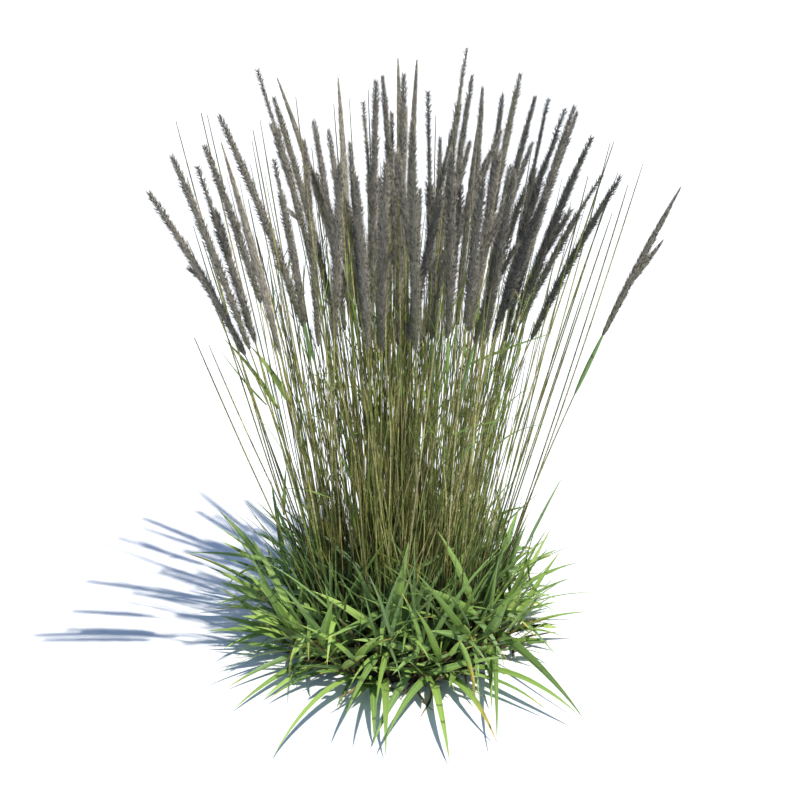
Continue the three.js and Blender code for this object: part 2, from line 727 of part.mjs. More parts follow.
for (let i = 0; i < SPRAYS; i++) tussock.add(meshOf(`leaf_spray_${i + 1}`, spray(i), leafFinish));

heads.forEach((stem, i) => {
  const name = `plume_${String(i + 1).padStart(2, "0")}`;
  tussock.add(meshOf(name, head(stem, i), headFinish));
});

export default tussock;
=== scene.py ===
"""The looks of a tussock of ornamental grass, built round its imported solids.

Every stem, leaf and head grows where the solids have it, by the same rules and seeded draws,
and then carries the finer leaves, sheaths and bristles that the solids leave out.
The layout is worked out in millimetres, and meshes are made in metres.
"""

import logging
import math
from collections.abc import Callable, Iterator, Sequence
from dataclasses import dataclass, field
from enum import Enum, IntEnum

import bpy
import numpy as np
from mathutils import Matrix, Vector


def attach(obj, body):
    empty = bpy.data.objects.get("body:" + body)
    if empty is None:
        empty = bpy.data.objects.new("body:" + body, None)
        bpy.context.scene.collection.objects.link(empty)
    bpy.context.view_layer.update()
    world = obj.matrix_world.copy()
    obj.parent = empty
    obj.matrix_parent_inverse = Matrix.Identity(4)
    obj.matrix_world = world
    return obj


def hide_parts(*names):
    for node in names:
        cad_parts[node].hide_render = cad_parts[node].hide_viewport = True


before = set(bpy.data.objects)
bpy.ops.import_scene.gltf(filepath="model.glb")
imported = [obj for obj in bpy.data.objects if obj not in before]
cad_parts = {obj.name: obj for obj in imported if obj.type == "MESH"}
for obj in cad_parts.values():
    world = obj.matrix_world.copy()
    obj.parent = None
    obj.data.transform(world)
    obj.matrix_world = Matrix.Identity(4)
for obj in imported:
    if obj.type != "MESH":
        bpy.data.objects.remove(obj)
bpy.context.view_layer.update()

log = logging.getLogger("tussock")
logging.basicConfig(level=logging.INFO, format="%(name)s: %(message)s")

Array = np.ndarray
Colour = tuple[float, float, float]
Span = tuple[float, float]
Socket = bpy.types.NodeSocket
Value = Socket | float
Paint = Socket | Colour

MM = 0.001
TURN = 2 * math.pi
GOLDEN = (math.sqrt(5) - 1) / 2
UP = np.array([0.0, 0.0, 1.0])

# The driving sizes of the solids.
CROWN_RADIUS = 150.0
FOOT_RADIUS = 140.0
FOOT_HEIGHT = 12.0
TOP_RADIUS = 400.0
BARE_CULM_RADIUS = 1.2
KNEE = 0.6
BARE_CULMS = 58
HEAD_RADIUS = 7.8
SIDE_SPIKE_EVERY = 4
LEAF_WIDTH = 13.0
WIDEST_AT = 0.25
DROOP_POWER = 1.3
MEAN_DROOP = 1 / (DROOP_POWER + 1)
LEAF_FLOOR = 2.0
LEAF_TOP = 255.0
SPRAYS = 8
SHOOTS_PER_SPRAY = 4
LEAVES_PER_SHOOT = 4
LEAF_DRAWS = 10
INNER_LEAVES = 25
CULM_LEAVES = 12
SPRAY_SEEDS = (220, 231, 212, 213, 204, 215, 206, 217)
SPRAY_REACH = (292, 335, 335, 325, 300, 268, 268, 264)
RHIZOME_WIDTH = 19.0
RHIZOME_HEIGHT = 15.0
CONE_FOOT = 152.0
CONE_SLOPE = math.tan(math.radians(13))
EYE_DISTANCE = 1870.0
EYE_HEIGHT = 990.0
ROOM_BY_HEAD = 12.0
ROOM_BETWEEN_HEADS = 19.0

# The bend of a straight stem, the step that a direction is measured over, how many stretches a
# midrib is worked out with, and how high the underside of a leaf stays.
STRAIGHT = 0.5
NEARBY = 0.01
FINE_STEPS = 24
CLEARANCE = 0.4

# What the scene adds to the solids.
YOUNG_HEADS = 14
YOUNG_ROOM = 13.0
LEAFY_HEIGHT = 262.0

# A leaf between two points is longer than the straight way by the square of its droop over
# this divisor.
DROOP_DIVISOR = 30

# A leaf that is placed one by one: how much wider it is than it looks, how far it twists, and the
# direction that its flat side faces.
SEEN_GIRTH = 1.18
SEEN_TWIST = 0.2
EYE_WARDS = (0.0, -1.0, 0.45)

# The heads as the eye sees them: across and height of the tip, across and height of the base,
# and how far behind the plant's middle the tip is.
HEADS = [
    (-382, 743, -242, 490, -300), (-343, 797, -234, 501, -335), (-306, 783, -224, 513, -290),
    (-293, 812, -214, 574, -230), (-270, 857, -151, 532, -120), (-267, 814, -187, 490, -320),
    (-211, 923, -134, 625, 60), (-188, 883, -109, 574, 180), (-190, 794, -148, 539, -150),
    (-181, 908, -75, 554, 120), (-129, 850, -86, 526, -60), (-107, 835, -74, 574, 240),
    (-91, 908, -77, 621, 330), (-90, 788, -102, 518, -240), (-75, 817, -59, 526, 90),
    (-66, 769, -50, 501, -340), (-55, 877, -34, 574, 200), (-35, 908, -44, 542, -100),
    (-26, 914, 0, 518, 20), (-22, 788, -28, 493, -280), (-12, 861, -19, 510, 290),
    (-6, 803, 34, 513, -200), (-3, 938, 6, 526, 130), (6, 917, -3, 501, -40),
    (18, 847, 24, 493, -320), (25, 935, 8, 574, 240), (41, 893, 50, 510, -130),
    (60, 825, 56, 510, 350), (78, 803, 75, 518, -250), (98, 955, 54, 572, 60),
    (107, 914, 65, 588, 180), (116, 842, 89, 534, -60), (122, 897, 109, 574, 280),
    (126, 763, 101, 542, -330), (150, 803, 109, 526, -170), (152, 887, 124, 589, 110),
    (173, 773, 133, 518, -280), (178, 917, 129, 633, 220), (190, 749, 116, 508, -220),
    (199, 817, 139, 621, 330), (201, 884, 136, 589, 30), (219, 734, 151, 545, -300),
    (220, 881, 173, 589, 150), (246, 867, 146, 500, -70), (260, 871, 164, 510, 90),
    (264, 861, 178, 574, 210), (267, 778, 198, 589, -190), (288, 825, 175, 521, -20),
    (305, 767, 187, 534, 120), (334, 766, 205, 513, -140), (424, 748, 318, 518, 20),
]

# Tips of the bare culms that stand clear in the outline, across and height.
BARE_TIPS = [
    (-333, 845), (-321, 764), (-315, 689), (-295, 857), (-286, 854), (-230, 730), (-221, 817),
    (-208, 848), (-154, 880), (-132, 806), (-98, 870), (-75, 878), (-47, 891), (82, 839),
    (210, 836), (283, 585), (283, 764), (314, 814), (344, 751),
]

# The long leaves that stand out round the rim: the bearing of the tip in degrees, how far out
# and how high it is, and how many degrees further round the root lies.
LONG_LEAVES = [
    (4, 339, 60, 6), (11, 310, 100, 8), (16, 274, 150, 12), (55, 385, 20, -6), (75, 350, 60, 8),
    (100, 380, 20, 7), (125, 395, 50, -8), (154, 308, 180, -6), (161, 345, 150, -4),
    (165, 397, 100, 4), (184, 303, 60, 6), (194, 320, 40, 10), (212, 363, 5, -3), (230, 309, 10, 7),
    (245, 421, 2, 6), (252, 270, 3, 9), (264, 347, 2, -9), (267, 380, 2, -5), (280, 398, 2, 7),
    (292, 371, 2, 2), (309, 351, 10, -12), (311, 399, 20, -5), (336, 266, 10, -9),
    (344, 279, 30, 6), (352, 320, 60, -8),
]

# The leaves that stand out one by one at the front: root and tip, how far each droops, how far
# it is turned from facing the eye, both in degrees, and how wide it is.
FRONT_LEAVES = [
    (-29, -160, 55, -78, -360, 55, 26, 20, 9.5), (-17, -158, 59, -33, -384, 90, 18, -15, 8),
    (-118, -116, 10, -208, -222, 3, 30, 25, 10.5), (142, -112, 42, 137, -250, 3, 38, 10, 9),
    (118, -128, 60, 119, -206, 3, 45, -20, 7), (-66, -152, 12, -94, -240, 3, 24, 15, 7.5),
    (58, -160, 68, -12, -232, 51, 26, -25, 11), (20, -187, 71, -72, -205, 96, 16, 15, 11),
    (-60, -140, 62, -201, -150, 65, 26, -30, 10), (109, -150, 68, 39, -190, 102, 20, 20, 12),
    (-92, -141, 8, -177, -190, 177, 10, -20, 13), (-132, -108, 14, -244, -130, 178, 14, 25, 13.5),
    (-28, -150, 79, -134, -190, 170, 16, 10, 11), (-14, -165, 57, 14, -150, 234, 8, -15, 15),
    (-5, -150, 87, 41, -170, 165, 12, 10, 13), (121, -140, 101, 33, -180, 172, 16, -20, 13),
    (116, -120, 110, 56, -150, 250, 14, 15, 11.5), (86, -150, 17, 106, -200, 93, 20, 30, 8),
    (51, -165, 17, -21, -381, 33, 34, 15, 10.5), (22, -165, 28, -40, -352, 5, 26, -15, 10),
    (150, -96, 58, 271, -281, 4, 24, 20, 12), (-152, -28, 132, -358, 20, 137, 16, 25, 8),
    (-132, -98, 10, -250, -254, 3, 26, 20, 9), (-128, -106, 28, -268, -191, 3, 24, -20, 9),
    (150, -102, 38, 135, -374, 24, 30, 10, 8), (-162, -60, 24, -319, -60, 33, 22, 20, 10),
    (-168, -14, 82, -307, -30, 66, 20, -15, 9),
]
OLD_LEAVES = [(89, -200, 92, 112, -226, 3, 40, 25, 8), (96, -188, 112, 112, -200, 84, 20, 40, 7)]

# The leaves that stand clear of the culms, in the same way.
LONE_LEAVES = [
    (-192, -20, 403, -276, -30, 522, 16, 20, 7), (-171, -30, 412, -229, -60, 517, 12, 10, 9),
    (-211, -10, 406, -287, 0, 501, -10, 40, 3.6), (92, -30, 471, 242, -60, 539, 8, 40, 5),
    (163, -40, 438, 191, -30, 525, 6, 20, 6), (73, -110, 387, 176, -140, 427, 16, 30, 3.4),
    (-105, -130, 296, -181, -150, 317, 34, 60, 4), (159, 20, 202, 211, 0, 228, 30, 20, 4.5),
    (-187, -30, 226, -180, -30, 314, 6, 30, 6),
]


class Seed(IntEnum):
    """Where the streams of draws of each group of pieces start."""

    YOUNG_HEAD = 77
    HEAD = 100
    SIDE_SPIKE = 300
    HAIRS = 500
    BARE_CULM = 1000
    INNER_LEAF = 4000
    LONG_LEAF = 5000
    CULM_LEAF = 6000
    UPRIGHT_SHOOT = 7000
    DROOPING_LEAF = 7100
    TUFT_LEAF = 7300
    THREAD_LEAF = 7500
    FLAG_LEAF = 7600
    SCRAP_LEAF = 7800
    FINE_CULM = 8000
    DEAD_LEAF = 8600
    CROSSING_LEAF = 9000


class Draws:
    """A stream of draws from 0 to 1 that always starts the same way for one seed."""

    WORD = 0xFFFFFFFF
    STEP = 0x6D2B79F5
    SPREADER = 61
    DRAWS = 2**32

    def __init__(self, seed: int) -> None:
        """Starts the stream at a seed."""
        self.state = seed & self.WORD

    def __call__(self) -> float:
        """Takes the next draw.

        Returns:
            A number from 0 up to 1.
        """
        self.state = (self.state + self.STEP) & self.WORD
        mixed = ((self.state ^ (self.state >> 15)) * (self.state | 1)) & self.WORD
        mixed ^= (mixed + (mixed ^ (mixed >> 7)) * (mixed | self.SPREADER)) & self.WORD
        return (mixed ^ (mixed >> 14)) / self.DRAWS

    def between(self, span: Span) -> float:
        """The next draw, between the two ends of a span."""
        return within(span, self())

    def angle(self, span: Span) -> float:
        """The next draw between two angles in degrees, turned into radians."""
        return math.radians(self.between(span))


@dataclass(frozen=True)
class LeafKind:
    """What one kind of leaf is drawn from: angles in degrees, widths in shares of LEAF_WIDTH.

    It rolls and twists by up to so much to either side.
    """

    aside: Span
    rise: Span
    droop: Span
    roll: float
    twist: float
    length: Span
    width: Span


RIM_LEAF = LeafKind((12, 88), (-12, 24), (3, 27), 55, 20, (130, 235), (0.7, 1.1))
INNER_LEAF = LeafKind((-100, 100), (52, 80), (5, 30), 80, 20, (130, 220), (0.6, 0.95))
CULM_LEAF = LeafKind((-70, 70), (58, 74), (35, 85), 40, 20, (100, 170), (0.42, 0.62))
CROSSING_LEAF = LeafKind((35, 145), (-12, 42), (0, 20), 45, 20, (120, 235), (0.6, 0.95))
UPRIGHT_LEAF = LeafKind((-120, 120), (44, 84), (2, 22), 90, 25, (100, 220), (0.28, 0.68))
THREAD_LEAF = LeafKind((-80, 80), (56, 80), (20, 80), 60, 25, (70, 150), (0.16, 0.3))
FLAG_LEAF = LeafKind((-70, 70), (66, 88), (2, 20), 80, 25, (50, 130), (0.14, 0.34))
SCRAP_LEAF = LeafKind((-180, 180), (58, 89), (0, 24), 90, 30, (20, 75), (0.1, 0.24))
DROOPING_LEAF = LeafKind((-48, 48), (10, 46), (62, 112), 50, 20, (90, 165), (0.45, 0.82))
TUFT_LEAF = LeafKind((-50, 50), (64, 88), (0, 18), 90, 25, (150, 270), (0.2, 0.42))
DEAD_LEAF = LeafKind((-150, 150), (-12, 32), (5, 70), 90, 60, (40, 120), (0.25, 0.6))


def within(span: Span, share: Array | float) -> Array | float:
    """What lies at a share of a span."""
    return span[0] + (span[1] - span[0]) * share


def fraction(value: float) -> float:
    """What is left of a value past its whole part."""
    return value - math.floor(value)


def unit(vectors: Array) -> Array:
    """Vectors along the last axis, at a length of 1."""
    return vectors / np.maximum(np.linalg.norm(vectors, axis=-1, keepdims=True), 1e-9)


def across(directions: Array) -> tuple[Array, Array]:
    """Two directions for each of some unit vectors, square to it and to each other."""
    first = unit(np.cross([0.0, 1.0, 0.0], directions))
    return first, np.cross(directions, first)


def turned(vectors: Array, axes: Array, angles: Array) -> Array:
    """Vectors turned about axes.

    Args:
        vectors: One a row.
        axes: Unit vectors, one a row.
        angles: In radians, one a row.

    Returns:
        The turned vectors.
    """
    cos, sin = np.cos(angles)[..., None], np.sin(angles)[..., None]
    along = np.sum(vectors * axes, axis=-1, keepdims=True)
    return vectors * cos + np.cross(axes, vectors) * sin + axes * along * (1 - cos)


def leaning(direction: Array, turn: float, slope: float) -> Array:
    """The direction of a branch that leans off a stem, some way round it."""
    first, second = across(direction)
    return unit(direction + (first * math.cos(turn) + second * math.sin(turn)) * slope)


@dataclass
class Stem:
    """A stem from its foot to its tip, which leans out more as it rises."""

    foot: Array
    tip: Array
    bend: float
    head_length: float = 0.0
    girth: float = 1.0
    spikes: list["Stem"] = field(default_factory=list)

    @property
    def seat(self) -> float:
        """How far along the stem its head begins."""
        return 1 - self.head_length / float(np.linalg.norm(self.tip - self.foot))

    def at(self, along: Array | float) -> Array:
        """Points along the stem.

        Args:
            along: Shares of the stem's height.

        Returns:
            One point for each share.
        """
        along = np.asarray(along, float)
        out = 2 * self.bend * along * (1 - along) + along * along
        share = np.stack([out, out, along], axis=-1)
        return self.foot + (self.tip - self.foot) * share

    def at_height(self, height: Array | float) -> Array:
        """Points of the stem at some heights above the ground."""
        return self.at((np.asarray(height) - self.foot[2]) / (self.tip[2] - self.foot[2]))

    def gaps(self, points: Array) -> Array:
        """How far each of some points is from the stem, measured level."""
        return np.linalg.norm(self.at_height(points[:, 2]) - points, axis=1)

    def direction(self, along: Array | float) -> Array:
        """The stem's directions at some shares of its height."""
        along = np.asarray(along, float)
        return unit(self.at(along + NEARBY) - self.at(along - NEARBY))

    def below(self, part: float) -> Array:
        """A point between the foot and the knee, where the solid culm runs straight."""
        return self.foot + (self.at(KNEE * self.seat) - self.foot) * part


@dataclass
class Leaf:
    """A leaf from its root: where it heads, how it rises and droops, and its size."""

    start: Array
    heading: float
    rise: float
    droop: float
    length: float
    width: float
    roll: float = 0.0
    twist: float = 0.0

    def line(self, steps: int) -> tuple[Array, Array]:
        """The leaf's midrib, which stays above the ground.

        Args:
            steps: The number of stretches to give.

        Returns:
            The points and the directions, evenly along the leaf.
        """
        along = np.arange(FINE_STEPS + 1) / FINE_STEPS
        rise = self.rise - self.droop * along**DROOP_POWER
        level = np.cos(rise)
        directions = np.stack(
            [math.cos(self.heading) * level, math.sin(self.heading) * level, np.sin(rise)], axis=-1
        )
        moved = np.cumsum(directions[:-1] * (self.length / FINE_STEPS), axis=0)
        points = self.start + np.vstack([np.zeros(3), moved])
        lifted = np.maximum.accumulate(np.maximum(LEAF_FLOOR - points[1:, 2], 0))
        points[1:, 2] += lifted
        every = FINE_STEPS // steps
        return points[::every], directions[::every]

    def away_from_root(self) -> Array:
        """Points of the midrib, without its first stretches."""
        return self.line(12)[0][2:]

    @classmethod
    def spanning(cls, row: Sequence[float]) -> "Leaf":
        """A leaf between two points, more or less flat to the eye.

        Args:
            row: Its entry in one of the tables of leaves that stand out.

        Returns:
            The leaf.
        """
        start, tip = np.array(row[:3], float), np.array(row[3:6], float)
        droop, aside = math.radians(row[6]), math.radians(row[7])
        run = tip - start
        chord = float(np.linalg.norm(run))
        heading = bearing(run)
        rise = math.asin(run[2] / chord) + droop * MEAN_DROOP
        direction = run / chord
        level = np.array([-math.sin(heading), math.cos(heading), 0.0])
        flat = np.cross(direction, EYE_WARDS)
        roll = math.atan2(flat @ np.cross(direction, level), flat @ level) + aside
        length, width = arched(chord, droop), SEEN_GIRTH * row[8]
        return cls(start, heading, rise, droop, length, width, roll, SEEN_TWIST)

    @classmethod
    def drawn(cls, kind: LeafKind, start: Array, towards: float, draw: Draws) -> "Leaf":
        """A leaf of a kind, by chance.

        Args:
            kind: What it is drawn from.
            start: Its root.
            towards: The bearing that it is turned from, in radians.
            draw: The stream that it is drawn with.

        Returns:
            The leaf.
        """
        heading = towards + draw.angle(kind.aside)
        rise = draw.angle(kind.rise)
        droop = draw.angle(kind.droop)
        length = draw.between(kind.length)
        width = LEAF_WIDTH * draw.between(kind.width)
        roll = draw.angle((-kind.roll, kind.roll))
        twist = draw.angle((-kind.twist, kind.twist))
        return cls(start.copy(), heading, rise, droop, length, width, roll, twist)


def arched(chord: float, droop: float) -> float:
    """The length of a leaf that droops, from the straight way between its ends."""
    return chord * (1 + droop**2 / DROOP_DIVISOR)


def bearing(point: Array) -> float:
    """The bearing of a point, in radians from +X."""
    return math.atan2(point[1], point[0])


def rotated(point: Sequence[float], angle: float) -> Array:
    """A point turned about the plant's upright middle line."""
    cos, sin = math.cos(angle), math.sin(angle)
    return np.array([point[0] * cos - point[1] * sin, point[0] * sin + point[1] * cos, point[2]])


class Growth:
    """Where everything grows: the layout that the solids are made by."""

    DEPTH_STEP = 13
    DEPTH_TRIES = 24
    HEAD_BEND = 0.12
    MOST_BEND = 0.5
    BENDS_FROM = 60
    HEAD_GIRTH = (0.86, 1.08)
    HEAD_MARGIN = 6
    BASE_DEPTH = 0.64
    FOOT_DEPTH = 0.35
    SPIKE_START = (0.3, 0.5)
    SPIKE_TURN = (-69, 69)
    SPIKE_SLOPE = (11, 17)
    SPIKE_LENGTH = (0.3, 0.42)
    CLASH_STEPS = 32
    CLEAR_STEPS = 40
    EDGE_SPREAD = 0.8
    EDGE_FOOT = 0.4
    EDGE_BEND = 0.55
    BARE_REACH = 0.92
    BARE_FALL = 0.22
    BARE_HEIGHT = (470, 920)
    BARE_TURN = (-29, 29)
    BARE_FOOT = (-6, 14)
    BARE_BEND = (0.42, 0.58)
    YOUNG_TIP = (-200, 250)
    YOUNG_LEAN = (0.3, 0.95)
    YOUNG_ASIDE = (-30, 30)
    YOUNG_HEIGHT = (690, 850)
    YOUNG_BASE = (480, 540)
    YOUNG_DEPTH = (-260, 260)
    INNER_FROM = (0.12, 0.5)
    CULM_LEAF_RISE = 8
    CULM_LEAF_ROOM = 5
    CULM_LEAF_HEAD_ROOM = 20
    LONG_DROOP = (38, 58)
    LONG_WIDTH = (0.85, 1.1)
    LONG_ROLL = (-28, 28)
    LONG_TWIST = (-20, 20)
    CLEAR_TRIES = 60
    SHORTENING = 0.95
    CLEAR_TURN = 0.12
    CLEAR_FALL = math.radians(2.5)
    SHOOT_SPREAD = 0.72
    SHOOT_ASIDE = (-6, 6)
    SHOOT_UPRIGHT = 97
    SHOOT_DROOP = math.radians(14)
    LOW_SHOOT = ((60, 76), (50, 100))
    TALL_SHOOT = ((40, 52), (80, 130))
    AMPLE_ROOM = 40.0

    def __init__(self) -> None:
        """Works out the stems and the leaves of the solids."""
        self.heads = self.flowering_stems()
        self.bare = self.bare_stems()
        self.stems = [*self.heads, *self.bare]
        self.young = self.young_heads()
        self.inner_leaves = self.leaves_among_culms()
        self.culm_leaves = self.leaves_of_culms()
        self.shoots, self.sprays = zip(*map(self.spray, range(SPRAYS)), strict=True)

    @staticmethod
    def seen_at(x: float, height: float, depth: float) -> Array:
        """The point that the eye sees across and at a height in the plane, some way behind it."""
        nearer = 1 + depth / EYE_DISTANCE
        return np.array([x * nearer, depth, EYE_HEIGHT + (height - EYE_HEIGHT) * nearer])

    @staticmethod
    def depths_from(wanted: float) -> Iterator[float]:
        """Depths to try for a stem, further and further from the one that is wanted.

        Args:
            wanted: The depth that is tried first.

        Returns:
            The depths, one by one.
        """
        yield wanted
        for step in range(1, Growth.DEPTH_TRIES + 1):
            yield wanted + Growth.DEPTH_STEP * step
            yield wanted - Growth.DEPTH_STEP * step

    @staticmethod
    def in_foot_ring(x: float, y: float) -> Array:
        """A culm's foot, drawn in to the ring of feet where it lies beyond it."""
        scale = min(1.0, FOOT_RADIUS / max(math.hypot(x, y), 1e-9))
        return np.array([x * scale, y * scale, FOOT_HEIGHT])

    def head_stem(self, seen: Sequence[float], depth: float) -> Stem:
        """The stem of a head, which passes through the head's base on its way to the tip.

        Args:
            seen: The head's entry in the table.
            depth: How far behind the plant's middle its tip is.

        Returns:
            The stem.
        """
        tip = self.seen_at(seen[0], seen[1], depth)
        base = self.seen_at(seen[2], seen[3], depth * self.BASE_DEPTH)
        seat = (base[2] - FOOT_HEIGHT) / (tip[2] - FOOT_HEIGHT)
        bow = 2 * seat * (1 - seat)
        out = self.HEAD_BEND * bow + seat * seat
        foot = self.in_foot_ring((base[0] - tip[0] * out) / (1 - out), depth * self.FOOT_DEPTH)
        spread = tip[0] - foot[0]
        bend = self.HEAD_BEND
        if abs(spread) >= self.BENDS_FROM:
            wanted = ((base[0] - foot[0]) / spread - seat * seat) / bow
            bend = float(np.clip(wanted, 0, self.MOST_BEND))
        return Stem(foot, tip, bend, (1 - seat) * float(np.linalg.norm(tip - foot)))

    def side_spike(self, stem: Stem, index: int) -> Stem:
        """The side spike of a head, as a straight stem that is all head.

        Args:
            stem: The stem of the head.
            index: The head's place in the table.

        Returns:
            The spike.
        """
        draw = Draws(Seed.SIDE_SPIKE + index)
        start_at = stem.seat + (1 - stem.seat) * draw.between(self.SPIKE_START)
        start, direction = stem.at(start_at), stem.direction(start_at)
        turn = bearing(start) + draw.angle(self.SPIKE_TURN)
        slope = math.tan(draw.angle(self.SPIKE_SLOPE))
        length = stem.head_length * draw.between(self.SPIKE_LENGTH)
        end = start + leaning(direction, turn, slope) * length
        return Stem(start, end, STRAIGHT, length)

    def clashes(self, stem: Stem, other: Stem) -> bool:
        """Whether a stem comes too close to another: head to head, or head to culm.

        Args:
            stem: The stem, of which the upper three quarters count.
            other: The other stem.

        Returns:
            Whether it does, anywhere.
        """
        along = np.arange(self.CLASH_STEPS // 4, self.CLASH_STEPS + 1) / self.CLASH_STEPS
        points = stem.at(along)
        height = points[:, 2]
        near = (height >= other.foot[2]) & (height <= other.tip[2] + self.HEAD_MARGIN)
        heads = (along >= stem.seat).astype(int) + (height >= other.at(other.seat)[2])
        room = np.array([0, ROOM_BY_HEAD, ROOM_BETWEEN_HEADS])[heads]
        return bool(np.any(near & (other.gaps(points) < room)))

    def flowering_stems(self) -> list[Stem]:
        """The culms that bear heads, each as near to its own depth as it can be.

        Returns:
            One stem for each head of the table.
        """
        stems = []
        standing = []
        for index, seen in enumerate(HEADS):
            for depth in self.depths_from(seen[4]):
                stem = self.head_stem(seen, depth)
                if index % SIDE_SPIKE_EVERY == 2:
                    stem.spikes = [self.side_spike(stem, index)]
                own = [stem, *stem.spikes]
                if not any(self.clashes(each, other) for each in own for other in standing):
                    break
            stem.girth = Draws(Seed.HEAD + index).between(self.HEAD_GIRTH)
            standing += own
            stems.append(stem)
        return stems

    def room_to_heads(self, points: Array) -> float:
        """How close some points come to the nearest head.

        Args:
            points: The points, one a row.

        Returns:
            The least distance, measured level.
        """
        least = math.inf
        for head in [each for stem in self.heads for each in (stem, *stem.spikes)]:
            low = head.at(head.seat)[2] - self.HEAD_MARGIN
            high = head.tip[2] + self.HEAD_MARGIN
            near = points[(points[:, 2] >= low) & (points[:, 2] <= high)]
            if len(near):
                least = min(least, float(head.gaps(near).min()))
        return least

    def clears_heads(self, stem: Stem) -> bool:
        """Whether a stem passes clear of every head."""
        points = stem.at(np.arange(self.CLEAR_STEPS + 1) / self.CLEAR_STEPS)
        return self.room_to_heads(points) > ROOM_BY_HEAD

    def room_to_stems(self, points: Array, own: Stem) -> Array:
        """How close each of some points comes to the nearest of the other stems.

        Args:
            points: The points, one a row.
            own: The stem that doesn't count.

        Returns:
            The distance for each point, measured level.
        """
        least = np.full(len(points), math.inf)
        for stem in self.stems:
            if stem is not own:
                nearer = np.minimum(least, stem.gaps(points))
                least = np.where(stem.tip[2] > points[:, 2], nearer, least)
        return least

    def bare_stems(self) -> list[Stem]:
        """The culms with no head, kept where they pass clear of every head.

        Returns:
            Those that stand clear in the outline, and then the others.
        """
        kept = []
        for i, (x, z) in enumerate(BARE_TIPS):
            spread = self.EDGE_SPREAD * math.sqrt(TOP_RADIUS**2 - x**2)
            for depth in self.depths_from(spread * (2 * fraction(i * GOLDEN + 0.2) - 1)):
                tip = self.seen_at(x, z, depth)
                foot = self.in_foot_ring(tip[0] * self.EDGE_FOOT, tip[1] * self.EDGE_FOOT)
                stem = Stem(foot, tip, self.EDGE_BEND)
                if self.clears_heads(stem):
                    kept.append(stem)
                    break
        i = 0
        while len(kept) < BARE_CULMS:
            draw = Draws(Seed.BARE_CULM + i)
            turn = TURN * fraction(i * GOLDEN)
            reach = TOP_RADIUS * self.BARE_REACH * math.sqrt(draw())
            height = draw.between(self.BARE_HEIGHT) - self.BARE_FALL * reach
            foot_turn = draw.angle(self.BARE_TURN)
            foot_reach = reach * FOOT_RADIUS / TOP_RADIUS + draw.between(self.BARE_FOOT)
            foot = rotated((min(FOOT_RADIUS, foot_reach), 0, FOOT_HEIGHT), turn + foot_turn)
            stem = Stem(foot, rotated((reach, 0, height), turn), draw.between(self.BARE_BEND))
            if self.clears_heads(stem):
                kept.append(stem)
            i += 1
        return kept

    def young_heads(self) -> list[Stem]:
        """The stems of lower heads between the others, which the solids leave out.

        Returns:
            The stems.
        """
        young = []
        draw = Draws(Seed.YOUNG_HEAD)
        while len(young) < YOUNG_HEADS:
            tip = draw.between(self.YOUNG_TIP)
            base = tip * draw.between(self.YOUNG_LEAN) + draw.between(self.YOUNG_ASIDE)
            height = draw.between(self.YOUNG_HEIGHT)
            seen = (tip, height, base, draw.between(self.YOUNG_BASE))
            stem = self.head_stem(seen, draw.between(self.YOUNG_DEPTH))
            points = stem.at(np.linspace(stem.seat, 1, 20))
            room = self.room_to_heads(points)
            for each in young:
                room = min(room, float(each.gaps(points).min()))
            if room > YOUNG_ROOM:
                stem.girth = draw.between(self.HEAD_GIRTH)
                young.append(stem)
        return young

    @staticmethod
    def scattered(stems: list[Stem], i: int, offset: float) -> Stem:
        """One of a list of stems, taken in an even but scattered order."""
        return stems[math.floor(len(stems) * fraction(i * GOLDEN + offset))]

    def leaves_among_culms(self) -> list[Leaf]:
        """The leaves that grow upright among the culms, inside their cone.

        Returns:
            The leaves.
        """
        leaves = []
        i = 0
        while len(leaves) < INNER_LEAVES:
            draw = Draws(Seed.INNER_LEAF + i)
            stem = self.scattered(self.stems, i, 0.1)
            start = stem.below(draw.between(self.INNER_FROM))
            leaf = Leaf.drawn(INNER_LEAF, start, bearing(start), draw)
            margin = leaf.width / 2 + 1
            points, _ = leaf.line(12)
            room = margin * (1 - np.arange(13) / 12) + 1
            strays = np.any((self.outside_cone(points) > -margin) | (points[:, 2] > LEAF_TOP))
            if not strays and not np.any(self.room_to_stems(points, stem) < room):
                leaves.append(leaf)
            i += 1
        return leaves

    def leaves_of_culms(self) -> list[Leaf]:
        """The narrow leaves half-way up the culms.

        Returns:
            The leaves.
        """
        leaves = []
        i = 0
        while len(leaves) < CULM_LEAVES:
            draw = Draws(Seed.CULM_LEAF + i)
            stem = self.scattered(self.heads, i, 0.35)
            start = stem.at(KNEE * stem.seat)
            leaf = Leaf.drawn(CULM_LEAF, start, bearing(start), draw)
            points, _ = leaf.line(12)
            low = points[:, 2].min() < LEAF_TOP + self.CULM_LEAF_RISE
            crowded = self.room_to_heads(points) < self.CULM_LEAF_HEAD_ROOM
            touching = np.any(self.room_to_stems(points, stem) < self.CULM_LEAF_ROOM)
            if not (low or crowded or touching):
                leaves.append(leaf)
            i += 1
        return leaves

    @staticmethod
    def outside_cone(points: Array) -> Array:
        """The distance from the culms' cone to some points, outwards."""
        return np.hypot(points[:, 0], points[:, 1]) - CONE_FOOT - points[:, 2] * CONE_SLOPE

    @staticmethod
    def inside_sector(points: Array, low: float, high: float) -> Array:
        """The distance from each of some points to the nearer side of a spray's sector.

        Args:
            points: The points, one a row.
            low: The bearing that it starts at.
            high: The bearing that it ends at.

        Returns:
            The distances, below 0 outside the sector.
        """
        x, y = points[:, 0], points[:, 1]
        from_low = math.cos(low) * y - math.sin(low) * x
        return np.minimum(from_low, math.sin(high) * x - math.cos(high) * y)

